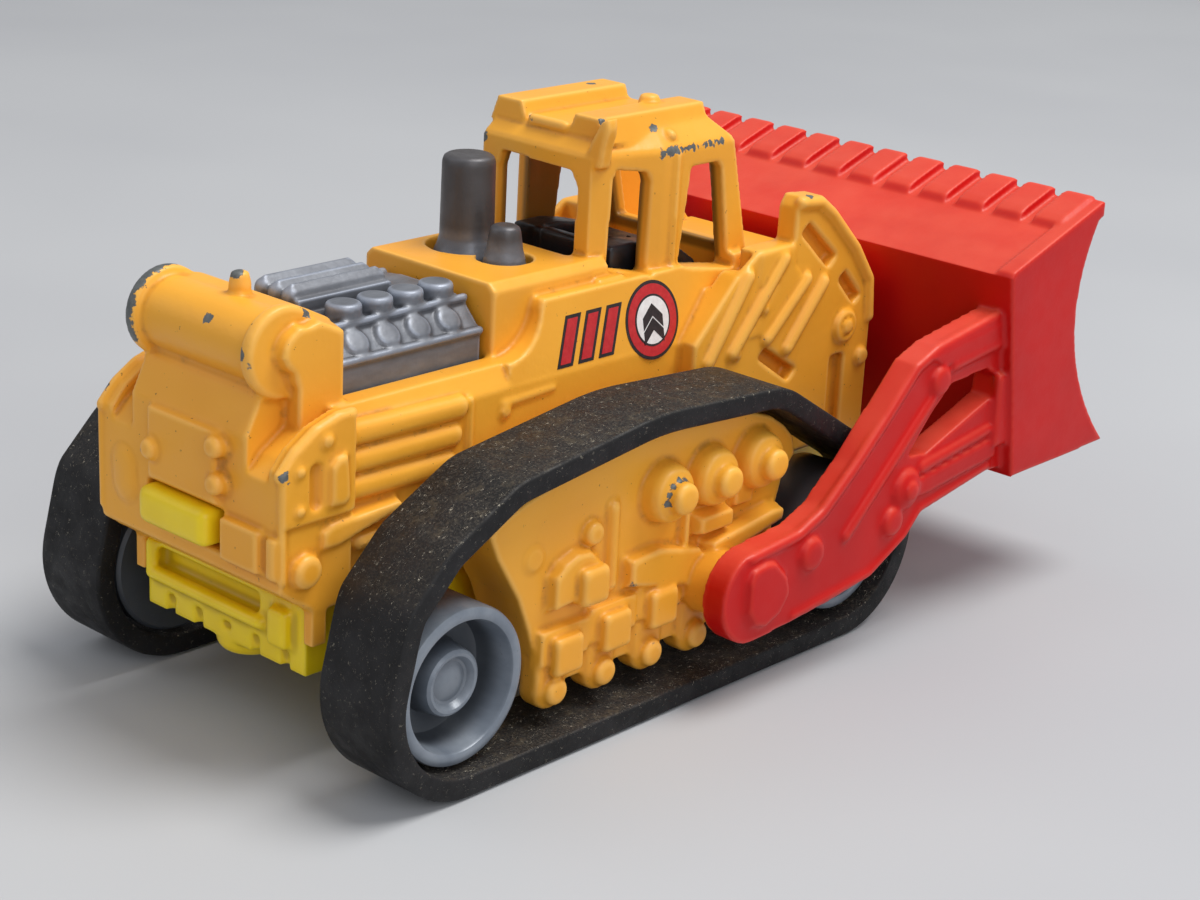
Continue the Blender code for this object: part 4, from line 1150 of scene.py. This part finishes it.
def rubber():
    """Black rubber with grey dust, pale lint and a little sand where it faces up."""
    look = Look("rubber", Specular_IOR_Level=0.35)
    grime = look.mix(look.ramp(look.noise(0.25, 4.0), 0.35, 0.7), (11, 11, 13), (24, 23, 25))
    level = look.ramp(look.up(), 0.45, 0.98, 0.02, 1.0)
    fine = look.ramp(look.noise(7.0, 4.0, 0.8), 0.46, 0.66)
    film = look.times(look.times(fine, level), 0.4)
    dusty = look.mix(film, grime, (104, 98, 88))
    patches = look.ramp(look.noise(0.9, 5.0, 0.8), 0.52, 0.66)
    sand = look.times(look.times(patches, level), 0.16)
    dusty = look.mix(sand, dusty, (130, 116, 90))
    lint = look.ramp(look.noise(3.4, 6.0, 0.9, look.stretched(1.0, 0.6, 0.8)), 0.595, 0.635)
    lint = look.times(lint, look.ramp(look.up(), -0.2, 0.9, 0.25, 1.0))
    dusty = look.mix(lint, dusty, (196, 188, 170))
    bumps = ((look.noise(3.5, 4.0, 0.65), 0.05, 0.6), (lint, 0.06, 0.8))
    return look.dressed(dusty, look.noise(0.8, 4.0), 0.5, 0.75, *bumps)


def grey_plastic():
    """Swirled grey plastic with specks of dirt, and painted shade deep inside the dish of the wheel."""
    look = Look("grey_plastic", Metallic=0.2, Specular_IOR_Level=0.5, Coat_Weight=0.2, Coat_Roughness=0.18)
    flow = look.noise(0.35, 4.0, 0.6, look.stretched(0.4, 1.0, 1.0))
    base = look.swirl(flow, (112, 121, 133), (134, 142, 152))
    # Painted shade: the inside of the wheel's dish is darkened towards black.
    out = look.ramp(look.maths("ABSOLUTE", look.side()), WHEEL_HIGH.x - 2.0, WHEEL_HIGH.x - 0.5, 0.78, 0.0)
    base = look.mix(out, base, (44, 46, 50))
    dirt = look.ramp(look.noise(2.6, 4.0, 0.75), 0.64, 0.74)
    base = look.tint(base, dirt, 0.5, (74, 74, 74))
    return look.dressed(base, look.noise(1.2, 4.0), 0.3, 0.46, (look.noise(1.1, 3.0), 0.03, 0.5))


def silver_plastic():
    """Silvery plastic, sooty brown on the stacks, with painted shade in the hollows and painted highlights on
    the edges.
    """
    look = Look("silver_plastic", Metallic=0.35, Specular_IOR_Level=0.5)
    edge = look.edge()
    flow = look.noise(0.5, 4.0, 0.65, look.stretched(1.0, 0.35, 1.0))
    base = look.swirl(flow, (100, 103, 110), (124, 128, 136))
    # Painted shade: the hollows are darkened.
    base = look.tint(base, look.ramp(edge, 0.5, 0.1), 0.75, (60, 61, 66))
    # Painted highlight: the edges are tinted bluish white.
    base = look.tint(base, look.ramp(edge, 0.6, 0.95), 0.45, (178, 187, 204))
    soot = look.ramp(look.height(), 25.4, 26.2, 0.0, 0.8)
    base = look.mix(soot, base, (64, 58, 55))
    bump = (look.noise(2.2, 4.0, 0.6), 0.03, 0.6)
    return look.dressed(base, look.noise(1.0, 5.0, 0.65), 0.36, 0.52, bump)


def lime_plastic():
    look = Look("lime_plastic", Subsurface_Weight=0.2, Subsurface_Scale=0.001,
                Subsurface_Radius=(1.0, 0.9, 0.2), Specular_IOR_Level=0.45)
    edge = look.edge()
    base = look.swirl(look.noise(0.3, 3.0), (240, 206, 16), (246, 214, 24))
    # Painted shade: the hollows are darkened to a deeper yellow.
    base = look.tint(base, look.ramp(edge, 0.5, 0.1), 0.5, (158, 124, 0))
    dirt = look.ramp(look.noise(2.0, 4.0, 0.7), 0.64, 0.76)
    base = look.tint(base, dirt, 0.3, (130, 112, 40))
    return look.dressed(base, look.noise(1.0, 4.0), 0.28, 0.42, (look.noise(1.2, 3.0), 0.03, 0.5))


def black_plastic():
    look = Look("black_plastic", Specular_IOR_Level=0.5)
    base = look.swirl(look.noise(0.6, 3.0), (22, 22, 24), (36, 36, 40))
    return look.dressed(base, look.noise(1.4, 4.0), 0.28, 0.45, (look.noise(2.5, 3.0), 0.03, 0.5))


def steel():
    look = Look("steel", Metallic=1.0)
    lines = look.noise(1.0, 4.0, 0.7, look.stretched(0.5, 6.0, 6.0))
    base = look.swirl(lines, (150, 150, 152), (190, 190, 192))
    return look.dressed(base, lines, 0.25, 0.4, (lines, 0.01, 0.5))


def ink(name, first, second):
    look = Look(name, Coat_Weight=0.2, Coat_Roughness=0.2)
    base = look.mix(look.ramp(look.noise(2.4, 4.0, 0.7), 0.35, 0.7), first, second)
    return look.dressed(base, look.noise(1.1, 4.0), 0.32, 0.45, (look.noise(1.4, 2.0), 0.03, 0.5))


def floor_look():
    look = Look("pale_floor", Roughness=0.55, Specular_IOR_Level=0.2)
    soft = look.ramp(look.noise(0.01, 3.0), 0.3, 0.7)
    look.set("Base Color", look.mix(soft, (177, 179, 183), (185, 187, 190)))
    return look.material


# Stage, lights and camera


def make_floor(look):
    half = 4.0
    mesh = bpy.data.meshes.new("floor")
    mesh.from_pydata([(x, y, 0) for x, y in rectangle((-half, -half), (half, half))], [], [(0, 1, 2, 3)])
    floor = linked("floor", mesh)
    floor.location.z = -0.0001
    floor.data.materials.append(look)


def area_light(name, place, aim, size, power, colour):
    data = bpy.data.lights.new(name, "AREA")
    data.shape = "DISK"
    data.size = size
    data.energy = power
    data.color = colour
    light = linked(name, data)
    light.location = place
    light.rotation_euler = (Vector(aim) - Vector(place)).to_track_quat("-Z", "Y").to_euler()


def make_lights():
    world = bpy.data.worlds.new("studio")
    world.use_nodes = True
    sky = world.node_tree.nodes["Background"]
    sky.inputs["Color"].default_value = (0.94, 0.96, 1.0, 1)
    sky.inputs["Strength"].default_value = 0.42
    bpy.context.scene.world = world
    aim = (0, 0, 0.015)
    area_light("key", (0.13, 0.12, 0.46), aim, 0.30, 2.2, (1.0, 0.98, 0.95))
    area_light("fill", (0.38, -0.16, 0.24), aim, 0.35, 0.55, (0.98, 0.98, 1.0))
    area_light("rear_fill", (-0.28, -0.36, 0.30), aim, 0.40, 0.25, (0.98, 0.98, 1.0))


# The camera stands to the right of and behind the toy, a little above it.
CAMERA_PLACE = (100.098, -85.33, 62.935)
CAMERA_TURN = 41.972
CAMERA_DROP = 19.513
CAMERA_ROLL = 3.014
CAMERA_LENS = 74.21


def make_camera():
    data = bpy.data.cameras.new("camera")
    data.lens = CAMERA_LENS
    data.sensor_width = 36
    data.clip_start = 0.005
    camera = linked("camera", data)
    view = Matrix.Translation(Vector(CAMERA_PLACE) * MM + ORIGIN)
    for degrees, axis in ((CAMERA_TURN, "Z"), (90 - CAMERA_DROP, "X"), (CAMERA_ROLL, "Z")):
        view @= Matrix.Rotation(math.radians(degrees), 4, axis)
    camera.matrix_world = view
    bpy.context.scene.camera = camera


# Everything together


def build():
    paint, rubber_look, grey, red = yellow_paint(), rubber(), grey_plastic(), red_plastic()
    body_piece(paint)
    base_piece(lime_plastic())
    engine_piece(silver_plastic())
    interior_piece(black_plastic())
    for label, side in (("left", -1), ("right", 1)):
        frame_piece(label, side, paint)
        belt_piece(label, side, rubber_look)
        wheel_piece(f"rear_wheel_{label}", side, 0.0, grey)
        wheel_piece(f"front_wheel_{label}", side, AXLE_SPACING, grey)
    blade_piece(red)
    inks = {
        "red": ink("red_ink", (186, 24, 32), (200, 40, 44)),
        "black": ink("black_ink", (24, 20, 22), (44, 36, 38)),
        "white": ink("white_ink", (226, 222, 220), (238, 236, 234)),
    }
    for side in (-1, 1):
        emblem(side, inks)
    axle_look = steel()
    for name in ("rear_axle", "front_axle"):
        for material_slot in frame["nodes"][name].material_slots:
            material_slot.material = axle_look


build()
make_floor(floor_look())
make_lights()
make_camera()
bpy.context.scene.view_settings.view_transform = "Standard"
